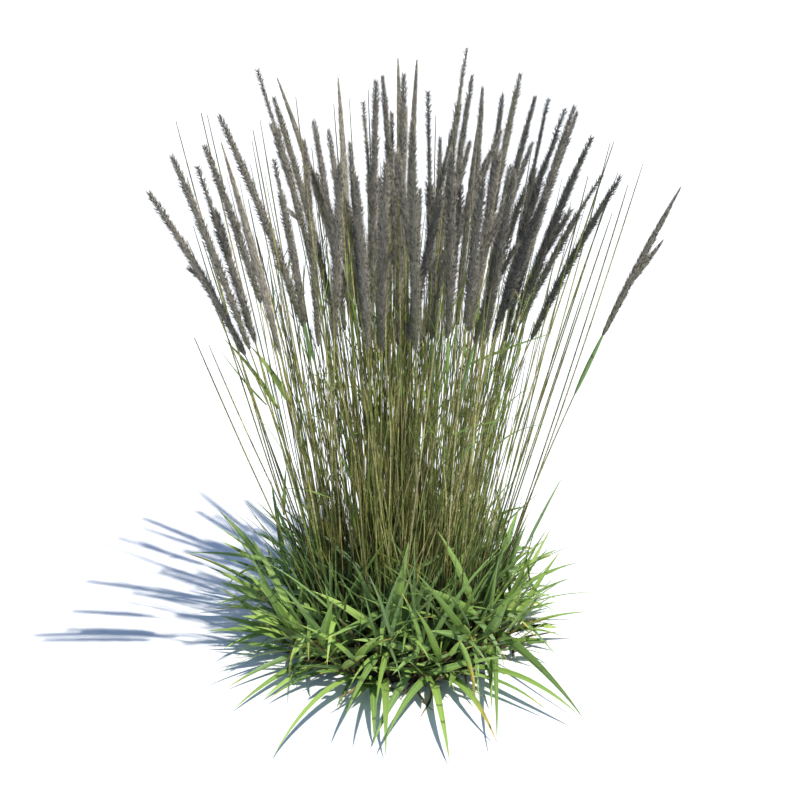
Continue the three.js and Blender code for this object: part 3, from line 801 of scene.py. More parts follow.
    def long_leaf(self, seen: Sequence[int]) -> Leaf:
        """A long leaf of the rim, which arches from the rhizome to the tip that is seen.

        Args:
            seen: The leaf's entry in the table.

        Returns:
            The leaf.
        """
        tip_bearing, reach, height, aside = seen
        draw = Draws(Seed.LONG_LEAF + tip_bearing)
        turn = math.radians(tip_bearing)
        root = (CROWN_RADIUS + RHIZOME_WIDTH * 0.7, 0, RHIZOME_HEIGHT * 0.5)
        start = rotated(root, math.radians(aside))
        run = np.array([reach, 0, height]) - start
        droop = draw.angle(self.LONG_DROOP) * (1 - height / LEAF_TOP)
        rise = math.atan2(run[2], math.hypot(run[0], run[1])) + droop * MEAN_DROOP
        length = arched(float(np.linalg.norm(run)), droop)
        width = LEAF_WIDTH * draw.between(self.LONG_WIDTH)
        roll = draw.angle(self.LONG_ROLL)
        twist = draw.angle(self.LONG_TWIST)
        start, heading = rotated(start, turn), turn + bearing(run)
        return Leaf(start, heading, rise, droop, length, width, roll, twist)

    def bend_clear(self, leaf: Leaf, low: float, high: float, reach: float) -> bool:
        """Turns, lowers and shortens a leaf until it is in its sector and outside the cone.

        Args:
            leaf: The leaf, which is changed.
            low: Where its sector starts.
            high: Where its sector ends.
            reach: How far from the middle it may come.

        Returns:
            Whether it lies clear.
        """
        middle = (low + high) / 2
        margin = leaf.width / 2 + 1
        for _ in range(self.CLEAR_TRIES):
            points, _ = leaf.line(6)
            strays = np.any(self.inside_sector(points, low, high) < margin)
            crowds = np.any(self.outside_cone(points) < margin)
            tall = np.any(points[:, 2] > LEAF_TOP - margin)
            far = np.any(np.hypot(points[:, 0], points[:, 1]) > reach)
            if not (strays or crowds or tall or far):
                return True
            if far:
                leaf.length *= self.SHORTENING
            if strays or crowds:
                leaf.heading += (middle - leaf.heading) * self.CLEAR_TURN
            if crowds or tall:
                leaf.rise -= self.CLEAR_FALL
        return False

    def spray(self, index: int) -> tuple[list[Leaf], list[Leaf]]:
        """A spray of the rim.

        Args:
            index: Its place round the crown.

        Returns:
            Its shoots, laid out as leaves are, and its leaves.
        """
        low, high = TURN * index / SPRAYS, TURN * (index + 1) / SPRAYS
        shoots = []
        leaves = [self.long_leaf(seen) for seen in LONG_LEAVES]
        inside = self.inside_sector(np.array([leaf.start for leaf in leaves]), low, high) > 0
        leaves = [leaf for leaf, kept in zip(leaves, inside, strict=True) if kept]
        for leaf in leaves:
            self.bend_clear(leaf, low, high, math.inf)
        lines = [leaf.away_from_root() for leaf in leaves]
        for place in range(SHOOTS_PER_SPRAY):
            draw = Draws(SPRAY_SEEDS[index] * 10 + place)
            off_middle = (high - low) * ((place + 0.5) / SHOOTS_PER_SPRAY - 0.5)
            azimuth = (low + high) / 2 + off_middle * self.SHOOT_SPREAD
            lean, length = self.LOW_SHOOT if (place + index) % 2 == 0 else self.TALL_SHOOT
            foot = rotated((CROWN_RADIUS + RHIZOME_WIDTH * 0.5, 0, RHIZOME_HEIGHT * 0.45), azimuth)
            rise = math.radians(self.SHOOT_UPRIGHT - draw.between(lean))
            reach = draw.between(length)
            heading = azimuth + draw.angle(self.SHOOT_ASIDE)
            shoot = Leaf(foot, heading, rise, self.SHOOT_DROOP, reach, 0)
            shoots.append(shoot)
            sector = (low, high, SPRAY_REACH[index])
            for order in range(LEAVES_PER_SHOOT):
                freest = self.freest_leaf(shoot, order, sector, lines, draw)
                if freest is not None:
                    leaves.append(freest)
                    lines.append(freest.away_from_root())
        return shoots, leaves

    def freest_leaf(
        self, shoot: Leaf, order: int, sector: Sequence[float], lines: list[Array], draw: Draws
    ) -> Leaf | None:
        """The leaf of a shoot that has the most room, of several draws.

        Args:
            shoot: The shoot that it grows from.
            order: Its place along the shoot.
            sector: The bearings between which it stays, and how far it may reach.
            lines: The midribs that it keeps clear of.
            draw: The stream that it is drawn with.

        Returns:
            The leaf, or None where there is no room.
        """
        freest, most = None, -1.0
        points, directions = shoot.line(FINE_STEPS)
        node = math.floor((order + 1) / LEAVES_PER_SHOOT * 23 + 0.5)
        for _ in range(LEAF_DRAWS):
            leaf = Leaf.drawn(RIM_LEAF, points[node], 0, draw)
            if order == LEAVES_PER_SHOOT - 1:
                leaf.heading = 0
            leaf.heading = shoot.heading + (leaf.heading if order % 2 == 0 else -leaf.heading)
            leaf.rise += math.asin(directions[node, 2])
            if not self.bend_clear(leaf, *sector):
                continue
            line, room = leaf.away_from_root(), self.AMPLE_ROOM
            for near in lines:
                room = min(room, float(np.linalg.norm(line[:, None] - near[None], axis=2).min()))
            if room > most:
                freest, most = leaf, room
        return freest


def added(name: str, data: bpy.types.ID) -> bpy.types.Object:
    """A new object of the scene.

    Args:
        name: Its name.
        data: Its mesh, lamp or camera.

    Returns:
        The object.
    """
    made = bpy.data.objects.new(name, data)
    bpy.context.scene.collection.objects.link(made)
    return made


class Surface:
    """Tubes, blades and bristles gathered into one mesh, with the marks that a finish reads."""

    # along runs from root to end, across from a blade's midrib to its edges, tone is the place
    # in the finish's range, and age says how old a blade is or how dark a culm is. On a head,
    # across says how young it is, and age is a speck.
    # Finishes darken the low end of along with painted shade; on a head's core, along sets its
    # painted shade.
    MARKS = ("along", "across", "tone", "age")

    def __init__(self) -> None:
        """Starts with no points."""
        self.count = 0
        self.points: list[Array] = []
        self.faces: list[Array] = []
        self.marks: dict[str, list[Array]] = {name: [] for name in self.MARKS}
        self.creases: list[Array] = []

    def _keep(self, points: Array, marks: dict[str, Array | float], crease: Array | bool) -> Array:
        """Adds points.

        Args:
            points: The points, along the last axis.
            marks: What the finish reads, in shapes that fit the points.
            crease: Which points lie on a sharp edge.

        Returns:
            Their numbers, in the same shape.
        """
        shape = points.shape[:-1]
        numbers = self.count + np.arange(int(np.prod(shape))).reshape(shape)
        self.count += numbers.size
        self.points.append(points.reshape(-1, 3))
        for name in self.MARKS:
            value = np.broadcast_to(np.asarray(marks.get(name, 0.0), float), shape)
            self.marks[name].append(value.ravel())
        self.creases.append(np.broadcast_to(np.asarray(crease, bool), shape).ravel())
        return numbers

    def loft(self, rings: Array, crease: Array | bool = False, **marks: Array | float) -> None:
        """Adds closed tubes through rings of points.

        Args:
            rings: The points, in the shape (tubes, rings, sides, 3).
            crease: Which points lie on a sharp edge, in a shape that fits.
            **marks: What the finish reads, in shapes that fit.
        """
        numbers = self._keep(rings, marks, crease)
        beside = np.roll(numbers, -1, axis=2)
        walls = np.stack([numbers[:, :-1], beside[:, :-1], beside[:, 1:], numbers[:, 1:]], axis=-1)
        self.faces.append(walls.reshape(-1, 4))
        self.faces.append(numbers[:, 0, ::-1].reshape(-1, rings.shape[2]))
        self.faces.append(numbers[:, -1].reshape(-1, rings.shape[2]))

    def bristles(self, roots: Array, tips: Array, radii: Array, **marks: Array | float) -> None:
        """Adds slim three-sided bristles, which narrow from their roots to a point.

        Args:
            roots: Where each starts, one a row.
            tips: Where each ends.
            radii: The radius of each at its root.
            **marks: What the finish reads, one value for each bristle.
        """
        first, second = across(unit(tips - roots))
        angles = TURN * np.arange(3) / 3 + np.arange(len(roots))[:, None]
        ring = (
            roots[:, None]
            + first[:, None] * (np.cos(angles) * radii[:, None])[..., None]
            + second[:, None] * (np.sin(angles) * radii[:, None])[..., None]
        )
        points = np.concatenate([ring, tips[:, None]], axis=1)
        spread = {name: np.asarray(value, float).reshape(-1, 1) for name, value in marks.items()}
        spread["along"] = np.array([[0.0, 0.0, 0.0, 1.0]])
        numbers = self._keep(points, spread, False)
        for corner in ((0, 2, 1), (0, 1, 3), (1, 2, 3), (2, 0, 3)):
            self.faces.append(numbers[:, corner])

    def made(self, name: str, finish: bpy.types.Material) -> bpy.types.Object:
        """The mesh as an object of the scene.

        Args:
            name: The piece's name.
            finish: Its material.

        Returns:
            The object, at the origin.
        """
        mesh = bpy.data.meshes.new(name)
        faces = [rows for rows in self.faces if len(rows)]
        corners = np.concatenate([rows.ravel() for rows in faces])
        sizes = np.concatenate([np.full(len(rows), rows.shape[1]) for rows in faces])
        mesh.vertices.add(self.count)
        places = np.concatenate(self.points) * MM
        mesh.vertices.foreach_set("co", places.astype(np.float32).ravel())
        mesh.loops.add(len(corners))
        mesh.loops.foreach_set("vertex_index", corners.astype(np.int32))
        mesh.polygons.add(len(sizes))
        starts = np.concatenate([[0], np.cumsum(sizes)[:-1]])
        mesh.polygons.foreach_set("loop_start", starts.astype(np.int32))
        mesh.polygons.foreach_set("use_smooth", np.ones(len(sizes), bool))
        mesh.update(calc_edges=True)
        for mark, values in self.marks.items():
            layer = mesh.attributes.new(mark, "FLOAT", "POINT")
            layer.data.foreach_set("value", np.concatenate(values).astype(np.float32))
        self._sharpen(mesh)
        mesh.materials.append(finish)
        return added(name, mesh)

    def _sharpen(self, mesh: bpy.types.Mesh) -> None:
        """Makes each edge sharp that runs between two creased points.

        Args:
            mesh: The mesh, with its edges made.
        """
        creased = np.concatenate(self.creases)
        if creased.any():
            ends = np.zeros(len(mesh.edges) * 2, np.int32)
            mesh.edges.foreach_get("vertices", ends)
            sharp = creased[ends].reshape(-1, 2).all(axis=1)
            layer = mesh.attributes.new("sharp_edge", "BOOLEAN", "EDGE")
            layer.data.foreach_set("value", sharp)


def tubes(lines: Array, radii: Array, sides: int) -> Array:
    """Rings of points round centre lines.

    Args:
        lines: The centre lines, in the shape (tubes, rings, 3).
        radii: The radius at each ring.
        sides: The number of points in a ring.

    Returns:
        The points, in the shape (tubes, rings, sides, 3).
    """
    first, second = across(unit(np.gradient(lines, axis=1)))
    angles = TURN * np.arange(sides) / sides
    cos, sin = np.cos(angles)[:, None], np.sin(angles)[:, None]
    out = first[..., None, :] * cos + second[..., None, :] * sin
    return lines[..., None, :] + out * radii[..., None, None]


@dataclass(frozen=True)
class Stalks:
    """The stalks of leafy shoots, which narrow and grow paler towards their ends, as their painted
    shade fades.
    """

    radius: float
    narrowing: float
    sides: int
    # The range of the along mark, which sets their painted shade.
    pale: Span
    tones: Span
    joint: float = 0.0

    def made(self, shoots: list[Leaf]) -> Surface:
        """The mesh of the stalks.

        Args:
            shoots: The shoots that they follow.

        Returns:
            The mesh.
        """
        surface = Surface()
        lines = np.stack([shoot.line(12)[0] for shoot in shoots])
        share = np.linspace(0, 1, lines.shape[1])
        radii = np.broadcast_to(self.radius - self.narrowing * share, lines.shape[:2])
        joints = (np.arange(len(share)) % 3 == 0) * self.joint
        # Their along marks set the painted shade, which darkens them towards their feet.
        along = within(self.pale, share[None, :, None])
        tone = np.linspace(*self.tones, len(lines))[:, None, None]
        surface.loft(tubes(lines, radii * (1 + joints), self.sides), along=along, tone=tone)
        return surface


class Shader:
    """A material's node tree, with short ways to add the nodes that these finishes use."""

    # The painted shade deep in the plant's foot: the radii, then the heights, over which it fades
    # in, in metres.
    PAINTED_SHADE_EDGE = (0.205, 0.135)
    PAINTED_SHADE_TOP = (0.19, 0.03)

    def __init__(self, name: str, roughness: float, specular: float) -> None:
        """Starts a material.

        Args:
            name: The material's name.
            roughness: Its plain roughness.
            specular: Its specular level.
        """
        self.material = bpy.data.materials.new(name)
        self.material.use_nodes = True
        self.tree = self.material.node_tree
        self.surface = self.tree.nodes["Principled BSDF"]
        self.surface.inputs["Roughness"].default_value = roughness
        self.surface.inputs["Specular IOR Level"].default_value = specular

    def _node(
        self, kind: str, inputs: dict[int | str, object], **settings: object
    ) -> bpy.types.Node:
        """A node with its settings made and its inputs set or linked.

        Args:
            kind: The node's type.
            inputs: A value or a socket for each of its inputs.
            **settings: Its own settings.

        Returns:
            The node.
        """
        node = self.tree.nodes.new(kind)
        for name, value in settings.items():
            setattr(node, name, value)
        for name, value in inputs.items():
            if isinstance(value, Socket):
                self.tree.links.new(value, node.inputs[name])
            elif value is not None:
                node.inputs[name].default_value = value
        return node

    def reads(self, mark: str) -> Socket:
        """What the mesh holds under a mark."""
        return self._node("ShaderNodeAttribute", {}, attribute_name=mark).outputs["Fac"]

    def math(self, operation: str, first: Value, second: Value | None = None) -> Socket:
        """The result of one sum."""
        return self._node("ShaderNodeMath", {0: first, 1: second}, operation=operation).outputs[0]

    def rises(self, value: Value, low: float, high: float, to: Span = (0.0, 1.0)) -> Socket:
        """A smooth rise between two values.

        Args:
            value: The value that it is read at.
            low: Where it begins.
            high: Where it ends.
            to: What it rises from and to.

        Returns:
            The rise at the value.
        """
        inputs = {"Value": value, "From Min": low, "From Max": high}
        inputs |= {"To Min": to[0], "To Max": to[1]}
        return self._node("ShaderNodeMapRange", inputs, interpolation_type="SMOOTHSTEP").outputs[0]

    def mix(self, share: Value, first: Paint, second: Paint) -> Socket:
        """One colour shading into another.

        Args:
            share: The share of the second colour.
            first: The first colour.
            second: The second colour.

        Returns:
            The mixed colour.
        """
        node = self._node("ShaderNodeMix", {}, data_type="RGBA")
        for name, value in (("Factor_Float", share), ("A_Color", first), ("B_Color", second)):
            socket = next(each for each in node.inputs if each.identifier == name)
            if isinstance(value, Socket):
                self.tree.links.new(value, socket)
            else:
                socket.default_value = (*value, 1.0) if isinstance(value, tuple) else value
        return next(each for each in node.outputs if each.identifier == "Result_Color")

    def tint(
        self, body: Socket, colour: Colour, value: Socket, low: float, high: float, most: float = 1
    ) -> Socket:
        """A colour that takes on another, up to some share, as a value goes from low to high."""
        return self.mix(self.rises(value, low, high, (0.0, most)), body, colour)

    def ramp(self, value: Socket, places: Sequence[float], colours: Sequence[Colour]) -> Socket:
        """A colour for each value.

        Args:
            value: The value, from 0 to 1.
            places: Where each colour is plain.
            colours: The colours, which shade into each other.

        Returns:
            The colour.
        """
        node = self._node("ShaderNodeValToRGB", {"Fac": value})
        elements = node.color_ramp.elements
        while len(elements) < len(colours):
            elements.new(1.0)
        for element, place, colour in zip(elements, places, colours, strict=True):
            element.position = place
            element.color = (*colour, 1.0)
        return node.outputs["Color"]

    def noise(self, x: Value, y: Value, z: Value, scale: float, detail: float = 2.0) -> Socket:
        """Noise over three values."""
        place = self._node("ShaderNodeCombineXYZ", {0: x, 1: y, 2: z}).outputs[0]
        return self._noise_at(place, scale, detail)

    def grain(self, scale: float, detail: float = 3.0) -> Socket:
        """Noise over the plant itself, in metres."""
        return self._noise_at(self._places(), scale, detail)

    def _noise_at(self, place: Socket, scale: float, detail: float) -> Socket:
        """Noise at the places that a socket gives."""
        inputs = {"Vector": place, "Scale": scale, "Detail": detail}
        return self._node("ShaderNodeTexNoise", inputs).outputs["Fac"]

    def _places(self) -> Socket:
        """Where each point is on the plant, in metres."""
        return self._node("ShaderNodeTexCoord", {}).outputs["Object"]

    def inside(self) -> Socket:
        """How deep in the foot of the plant each point is, as the share of painted shade that it
        takes.

        Returns:
            From 0 at the foot's edge to 1 in its middle, near the ground.
        """
        x, y, z = self._node("ShaderNodeSeparateXYZ", {0: self._places()}).outputs
        squares = self.math("ADD", self.math("MULTIPLY", x, x), self.math("MULTIPLY", y, y))
        near = self.rises(self.math("SQRT", squares), *self.PAINTED_SHADE_EDGE)
        return self.math("MULTIPLY", near, self.rises(z, *self.PAINTED_SHADE_TOP))

    def colour(self, value: Socket) -> None:
        """Sets the surface's colour."""
        self.tree.links.new(value, self.surface.inputs["Base Color"])

    def roughness(self, value: Socket) -> None:
        """Sets the surface's roughness."""
        self.tree.links.new(value, self.surface.inputs["Roughness"])

    def bump(self, height: Socket, distance: float, strength: float) -> None:
        """Gives the surface a relief.

        Args:
            height: The relief's height, from 0 to 1.
            distance: What a height of 1 stands for, in metres.
            strength: The share of it that shows.
        """
        inputs = {"Height": height, "Distance": distance, "Strength": strength}
        made = self._node("ShaderNodeBump", inputs).outputs["Normal"]
        self.tree.links.new(made, self.surface.inputs["Normal"])


@dataclass(frozen=True)
class LeafFinish:
    """A blade: faintly ribbed, paler towards its tip, banded and spotted where old, with painted
    shade low in the middle.
    """

    deep: Colour = (0.020, 0.045, 0.007)
    blue: Colour = (0.105, 0.200, 0.080)
    fresh: Colour = (0.155, 0.275, 0.042)
    bright: Colour = (0.310, 0.465, 0.098)
    lime: Colour = (0.430, 0.540, 0.140)
    rib: Colour = (0.480, 0.600, 0.260)
    straw: Colour = (0.560, 0.450, 0.085)
    brown: Colour = (0.190, 0.085, 0.025)
    band: Colour = (0.034, 0.056, 0.014)

    def made(self) -> bpy.types.Material:
        """Makes the material.

        Returns:
            The material.
        """
        shader = Shader("leaf_blade", 0.45, 0.5)
        along, side = shader.reads("along"), shader.reads("across")
        tone, age = shader.reads("tone"), shader.reads("age")
        colours = (self.deep, self.blue, self.fresh, self.bright, self.lime)
        body = shader.ramp(tone, (0.0, 0.3, 0.6, 0.87, 1.0), colours)
        own = shader.math("MULTIPLY", tone, 60.0)
        streak = shader.noise(shader.math("MULTIPLY", side, 7.0), along, own, 1.4)
        body = shader.tint(body, self.bright, streak, 0.35, 0.75, 0.35)
        body = shader.tint(body, self.bright, along, 0.3, 1.0, 0.35)
        off_rib = shader.math("ABSOLUTE", side)
        body = shader.tint(body, self.rib, off_rib, 0.18, 0.02, 0.4)
        body = shader.tint(body, self.rib, off_rib, 0.82, 1.0, 0.3)
        dry = shader.math("ADD", age, along)
        body = shader.tint(body, self.straw, dry, 1.1, 1.45)
        patch = shader.noise(side, shader.math("MULTIPLY", along, 9.0), own, 1.1, 4.0)
        patched, aged = shader.rises(patch, 0.60, 0.68), shader.rises(age, 0.15, 0.8)
        body = shader.mix(shader.math("MULTIPLY", patched, aged), body, self.brown)
        across_it = shader.noise(0.3, shader.math("MULTIPLY", along, 13.0), own, 1.0, 1.0)
        body = shader.tint(body, self.band, across_it, 0.66, 0.70, 0.6)
        body = shader.tint(body, self.brown, dry, 1.6, 1.85)
        # Painted shade: blades darken towards the deep colour near the ground in the plant's
        # middle.
        body = shader.mix(shader.math("MULTIPLY", shader.inside(), 0.72), body, self.deep)
        shader.colour(shader.tint(body, self.brown, along, 0.08, 0.0, 0.6))
        shader.roughness(shader.rises(streak, 0.2, 0.8, (0.33, 0.52)))
        veins = shader.math("SINE", shader.math("MULTIPLY", side, 34.0))
        shader.bump(shader.math("MULTIPLY_ADD", veins, 0.5), 0.00025, 0.4)
        return shader.material


@dataclass(frozen=True)
class CulmFinish:
    """A culm: green, olive, straw or brown from node to node, with painted shade darkening it
    towards its foot.
    """

    shade: Colour = (0.042, 0.050, 0.012)
    green: Colour = (0.150, 0.230, 0.026)
    olive: Colour = (0.215, 0.215, 0.048)
    straw: Colour = (0.590, 0.540, 0.210)
    mauve: Colour = (0.240, 0.160, 0.115)
    dark: Colour = (0.034, 0.028, 0.014)

    def made(self) -> bpy.types.Material:
        """Makes the material.

        Returns:
            The material.
        """
        shader = Shader("culm", 0.5, 0.35)
        along, tone, age = shader.reads("along"), shader.reads("tone"), shader.reads("age")
        colours = (self.shade, self.green, self.olive, self.straw, self.mauve)
        body = shader.ramp(tone, (0.0, 0.25, 0.5, 0.75, 1.0), colours)
        streak = shader.grain(70.0)
        body = shader.tint(body, self.olive, streak, 0.4, 0.7, 0.5)
        speck = shader.grain(210.0, 2.0)
        body = shader.tint(body, self.shade, speck, 0.52, 0.66, 0.6)
        body = shader.tint(body, self.straw, speck, 0.46, 0.34, 0.4)
        # Painted shade: the culm darkens towards its foot.
        body = shader.tint(body, self.dark, along, 0.40, 0.12, 0.9)
        shader.colour(shader.mix(age, body, self.dark))
        shader.roughness(shader.rises(streak, 0.2, 0.8, (0.4, 0.62)))
        shader.bump(shader.grain(900.0, 1.0), 0.0003, 0.35)
        return shader.material


@dataclass(frozen=True)
class HeadFinish:
    """A head: soft hairs from dark grey to light taupe, with painted shade at their roots and on
    the core.
    """

    deep: Colour = (0.038, 0.035, 0.020)
    slate: Colour = (0.080, 0.080, 0.068)
    grey: Colour = (0.310, 0.288, 0.228)
    taupe: Colour = (0.510, 0.455, 0.355)
    green: Colour = (0.105, 0.130, 0.030)
    pale: Colour = (0.540, 0.500, 0.400)

    def made(self) -> bpy.types.Material:
        """Makes the material.

        Returns:
            The material.
        """
        shader = Shader("head", 0.85, 0.15)
        shader.surface.inputs["Sheen Weight"].default_value = 0.12
        shader.surface.inputs["Sheen Roughness"].default_value = 0.6
        along, tone = shader.reads("along"), shader.reads("tone")
        young, speck = shader.reads("across"), shader.reads("age")
        body = shader.ramp(tone, (0.0, 0.5, 1.0), (self.slate, self.grey, self.taupe))
        body = shader.tint(body, self.pale, speck, 0.7, 1.0, 0.3)
        body = shader.tint(body, self.deep, speck, 0.35, 0.0, 0.75)
        body = shader.mix(young, body, self.green)
        # Painted shade: the hairs darken towards their roots, and the core by its place on this
        # ramp.
        body = shader.tint(body, self.deep, along, 0.4, 0.0, 0.6)
        shader.colour(body)
        shader.roughness(shader.rises(shader.grain(120.0), 0.2, 0.8, (0.75, 0.95)))
        shader.bump(shader.grain(1500.0, 1.0), 0.0003, 0.4)
        return shader.material


@dataclass(frozen=True)
class BaseFinish:
    """The foot of the plant: brown and straw sheaths over dark, matted litter, with painted shade
    below.
    """

    dark: Colour = (0.020, 0.016, 0.009)
    brown: Colour = (0.090, 0.055, 0.026)
    straw: Colour = (0.250, 0.190, 0.080)
    green: Colour = (0.060, 0.110, 0.026)

    def made(self) -> bpy.types.Material:
        """Makes the material.

        Returns:
            The material.
        """
        shader = Shader("tiller_base", 0.75, 0.25)
        along, tone = shader.reads("along"), shader.reads("tone")
        colours = (self.dark, self.brown, self.straw, self.green)
        body = shader.ramp(tone, (0.0, 0.35, 0.65, 1.0), colours)
        streak = shader.grain(160.0, 4.0)
        body = shader.tint(body, self.brown, streak, 0.4, 0.7, 0.7)
        # Painted shade: the sheaths, stalks and mound darken towards their foot.
        body = shader.tint(body, self.dark, along, 0.6, 0.0, 0.8)
        shader.colour(body)
        shader.roughness(shader.rises(streak, 0.2, 0.8, (0.65, 0.9)))
        shader.bump(streak, 0.0012, 0.5)
        return shader.material


class Finish(Enum):
    """The finishes of the plant, in the order that they are made."""

    LEAF = "leaf"
    CULM = "culm"
    HEAD = "plume"
    BASE = "base"


class Wardrobe:
    """The plant's materials, made once, and the way a piece is dressed and handed over."""

    def __init__(self) -> None:
        """Makes every material."""
        makers = (LeafFinish(), CulmFinish(), HeadFinish(), BaseFinish())
        made = (maker.made() for maker in makers)
        self.materials = dict(zip(Finish, made, strict=True))

    def place(self, surface: Surface, name: str, finish: Finish, *nodes: str) -> bpy.types.Object:
        """Makes a piece of a surface, which moves with the plant.

        Args:
            surface: The piece's mesh.
            name: Its name.
            finish: Its finish.
            *nodes: The solids that it stands for.

        Returns:
            The piece.
        """
        piece = surface.made(name, self.materials[finish])
        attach(piece, "root")
        if nodes:
            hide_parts(*nodes)
        log.info("%s: %d faces", name, len(piece.data.polygons))
        return piece


def blade_width(along: Array) -> Array:
    """How wide a blade is along its length.

    Args:
        along: Shares of its length.

    Returns:
        Shares of its greatest width.
    """
    rising = 0.45 + 0.55 * np.sin(np.minimum(along / WIDEST_AT, 1) * math.pi / 2)
    falling = (1 - np.clip((along - WIDEST_AT) / (1 - WIDEST_AT), 0, 1) ** 1.3) ** 0.9
    return np.where(along < WIDEST_AT, rising, falling)


@dataclass
class Blades:
    """A gathering of leaf blades, folded along their midribs."""

    leaves: list[Leaf]
    seed: int
    steps: int = 12
    fold: float = 0.28
    thickness: float = 0.45
    ripple: float = 0.05
    age: Span = (0.0, 0.6)
    tone: Span = (0.0, 1.0)
    wilting: float = 4.5
    section: Array = field(default_factory=lambda: np.array([1, 0.5, 0, -0.5, -1, -0.5, 0, 0.5]))

    def add_to(self, surface: Surface) -> None:
        """Adds the blades to a mesh.

        Args:
            surface: The mesh.
        """
        if not self.leaves:
            return
        chance = np.random.default_rng(self.seed)
        count = len(self.leaves)
        along = np.arange(self.steps + 1) / self.steps
        lines = [leaf.line(self.steps) for leaf in self.leaves]
        points, directions = (np.stack(parts) for parts in zip(*lines, strict=True))
        sizes = [(leaf.heading, leaf.roll, leaf.twist, leaf.width) for leaf in self.leaves]
        headings, rolls, twists, widths = np.array(sizes, float).T
        level = np.stack([-np.sin(headings), np.cos(headings), np.zeros(count)], axis=-1)
        side = turned(level[:, None], directions, rolls[:, None] + twists[:, None] * along)
        up = np.cross(directions, side)
        half = widths[:, None] / 2 * np.maximum(blade_width(along), 0.02)
        flatter = 1 - 0.6 * along
        fold = self.fold * flatter * chance.uniform(0.6, 1.5, (count, 1))
        straying = chance.uniform(-1, 1, (count, 1)) * widths[:, None] * 0.5
        sway = straying * np.sin(along * math.pi) * self.ripple * 5
        waves = along * chance.uniform(9, 16, (count, 1)) + chance.uniform(0, TURN, (count, 1))
        reach = np.abs(self.section)
        underside = np.array([0, 0, 0, 0, 0, 0.55, 1, 0.55]) * self.thickness
        lift = half[..., None] * reach * (fold + self.ripple * np.sin(waves))[..., None]
        lift = lift - underside * flatter[:, None]
        rings = (
            (points + side * sway[..., None])[:, :, None]
            + side[:, :, None] * (half[..., None] * self.section)[..., None]
            + up[:, :, None] * lift[..., None]
        )
        rings[..., 2] = np.maximum(rings[..., 2], CLEARANCE)
        tone = chance.uniform(*self.tone, (count, 1, 1))
        wilted = chance.uniform(0, 1, (count, 1, 1)) ** self.wilting
        age = within(self.age, wilted)
        marks = {"along": along[None, :, None], "across": self.section, "tone": tone, "age": age}
        surface.loft(rings, crease=reach == 1, **marks)


@dataclass
class CulmStand:
    """The culms: those that bear heads, the bare ones, and finer ones among them."""

    growth: Growth
    wardrobe: Wardrobe
    rings: int = 26
    fine_culms: int = 560
    node_spacing: Span = (40.0, 120.0)
    node_shades: int = 32
    short: Span = (360, 620)
    tall: Span = (540, 800)

    def stems(
        self,
        stems: list[Stem],
        radius: float,
        taper: float,
        seed: int,
        sway: float = 0.0,
        sides: int = 4,
    ) -> Surface:
        """Culms with swollen nodes, which change colour from node to node.

        Args:
            stems: The culms' lines.
            radius: Their radius at the foot.
            taper: The share of it that is left at the end.
            seed: Where the draws start.
            sway: How far they stray from their lines.
            sides: How many sides they have.

        Returns:
            Their mesh.
        """
        surface = Surface()
        chance = np.random.default_rng(seed)
        share = np.linspace(0, 1, self.rings)
        count = len(stems)
        ends = np.array([stem.seat if stem.head_length else 1.0 for stem in stems])
        lines = np.stack([stem.at(share * end) for stem, end in zip(stems, ends, strict=True)])
        for axis in (0, 1):
            waves = share * chance.uniform(5, 15, (count, 1)) + chance.uniform(0, TURN, (count, 1))
            lines[..., axis] += sway * np.sin(waves) * np.sin(share * math.pi / 2)
        bare = np.array([not stem.head_length for stem in stems])[:, None]
        spacing = chance.uniform(*self.node_spacing, (count, 1))
        place = lines[..., 2] / spacing + chance.uniform(0, 1, (count, 1))
        knob = np.clip((np.abs(place % 1 - 0.5) * 2 - 0.86) / 0.14, 0, 1)
        radii = radius * (1 - (1 - taper) * share) * (1 + 0.22 * knob)
        radii = np.where(bare & (share > 0.9), radii * (1.12 - share) / 0.22, radii)
        dark = np.where(bare, np.clip((share - 0.82) / 0.15, 0, 1) * 0.7, 0) + 0.5 * knob
        shades = chance.uniform(0, 1, (count, self.node_shades))
        by_node = shades[np.arange(count)[:, None], place.astype(int) % self.node_shades]
        tone = 0.4 * chance.uniform(0, 1, (count, 1)) + 0.6 * by_node
        marks = {"along": share[None, :, None], "tone": tone[..., None], "age": dark[..., None]}
        surface.loft(tubes(lines, radii, sides), **marks)
        return surface

    def between_stems(self) -> list[Stem]:
        """Finer culms among the others, which end lower than the heads or between them.

        Returns:
            Their stems.
        """
        stems = []
        for i in range(self.fine_culms):
            draw = Draws(Seed.FINE_CULM + i)
            turn = TURN * fraction(i * GOLDEN + 0.31)
            out = draw() ** 0.8
            height = draw.between(self.short if i % 5 > 1 else self.tall)
            fullness = 0.9 if math.cos(turn) < -0.4 else 1.0
            reach = fullness * out * (126 + 190 * (height / 850) ** 1.2)
            foot_reach = out * FOOT_RADIUS * 0.94 + draw.between((-8, 8))
            foot = rotated((foot_reach, 0, FOOT_HEIGHT), turn + draw.between((-0.8, 0.8)))
            tip = rotated((reach, 0, height - 0.12 * reach), turn)
            stems.append(Stem(foot, tip, draw.between((0.3, 0.56))))
        return stems

    def build(self) -> None:
        """Makes the culms."""
        flowering = self.stems(self.growth.heads, radius=1.35, taper=0.7, seed=11)
        self.wardrobe.place(flowering, "flowering_culms", Finish.CULM)
        bare = self.stems(self.growth.bare, radius=BARE_CULM_RADIUS, taper=0.84, seed=12)
        self.wardrobe.place(bare, "bare_culms", Finish.CULM)
        between = [*self.between_stems(), *self.growth.young]
        fine = self.stems(between, radius=0.98, taper=0.86, seed=13, sway=3.4, sides=3)
        self.wardrobe.place(fine, "fine_culms", Finish.CULM)


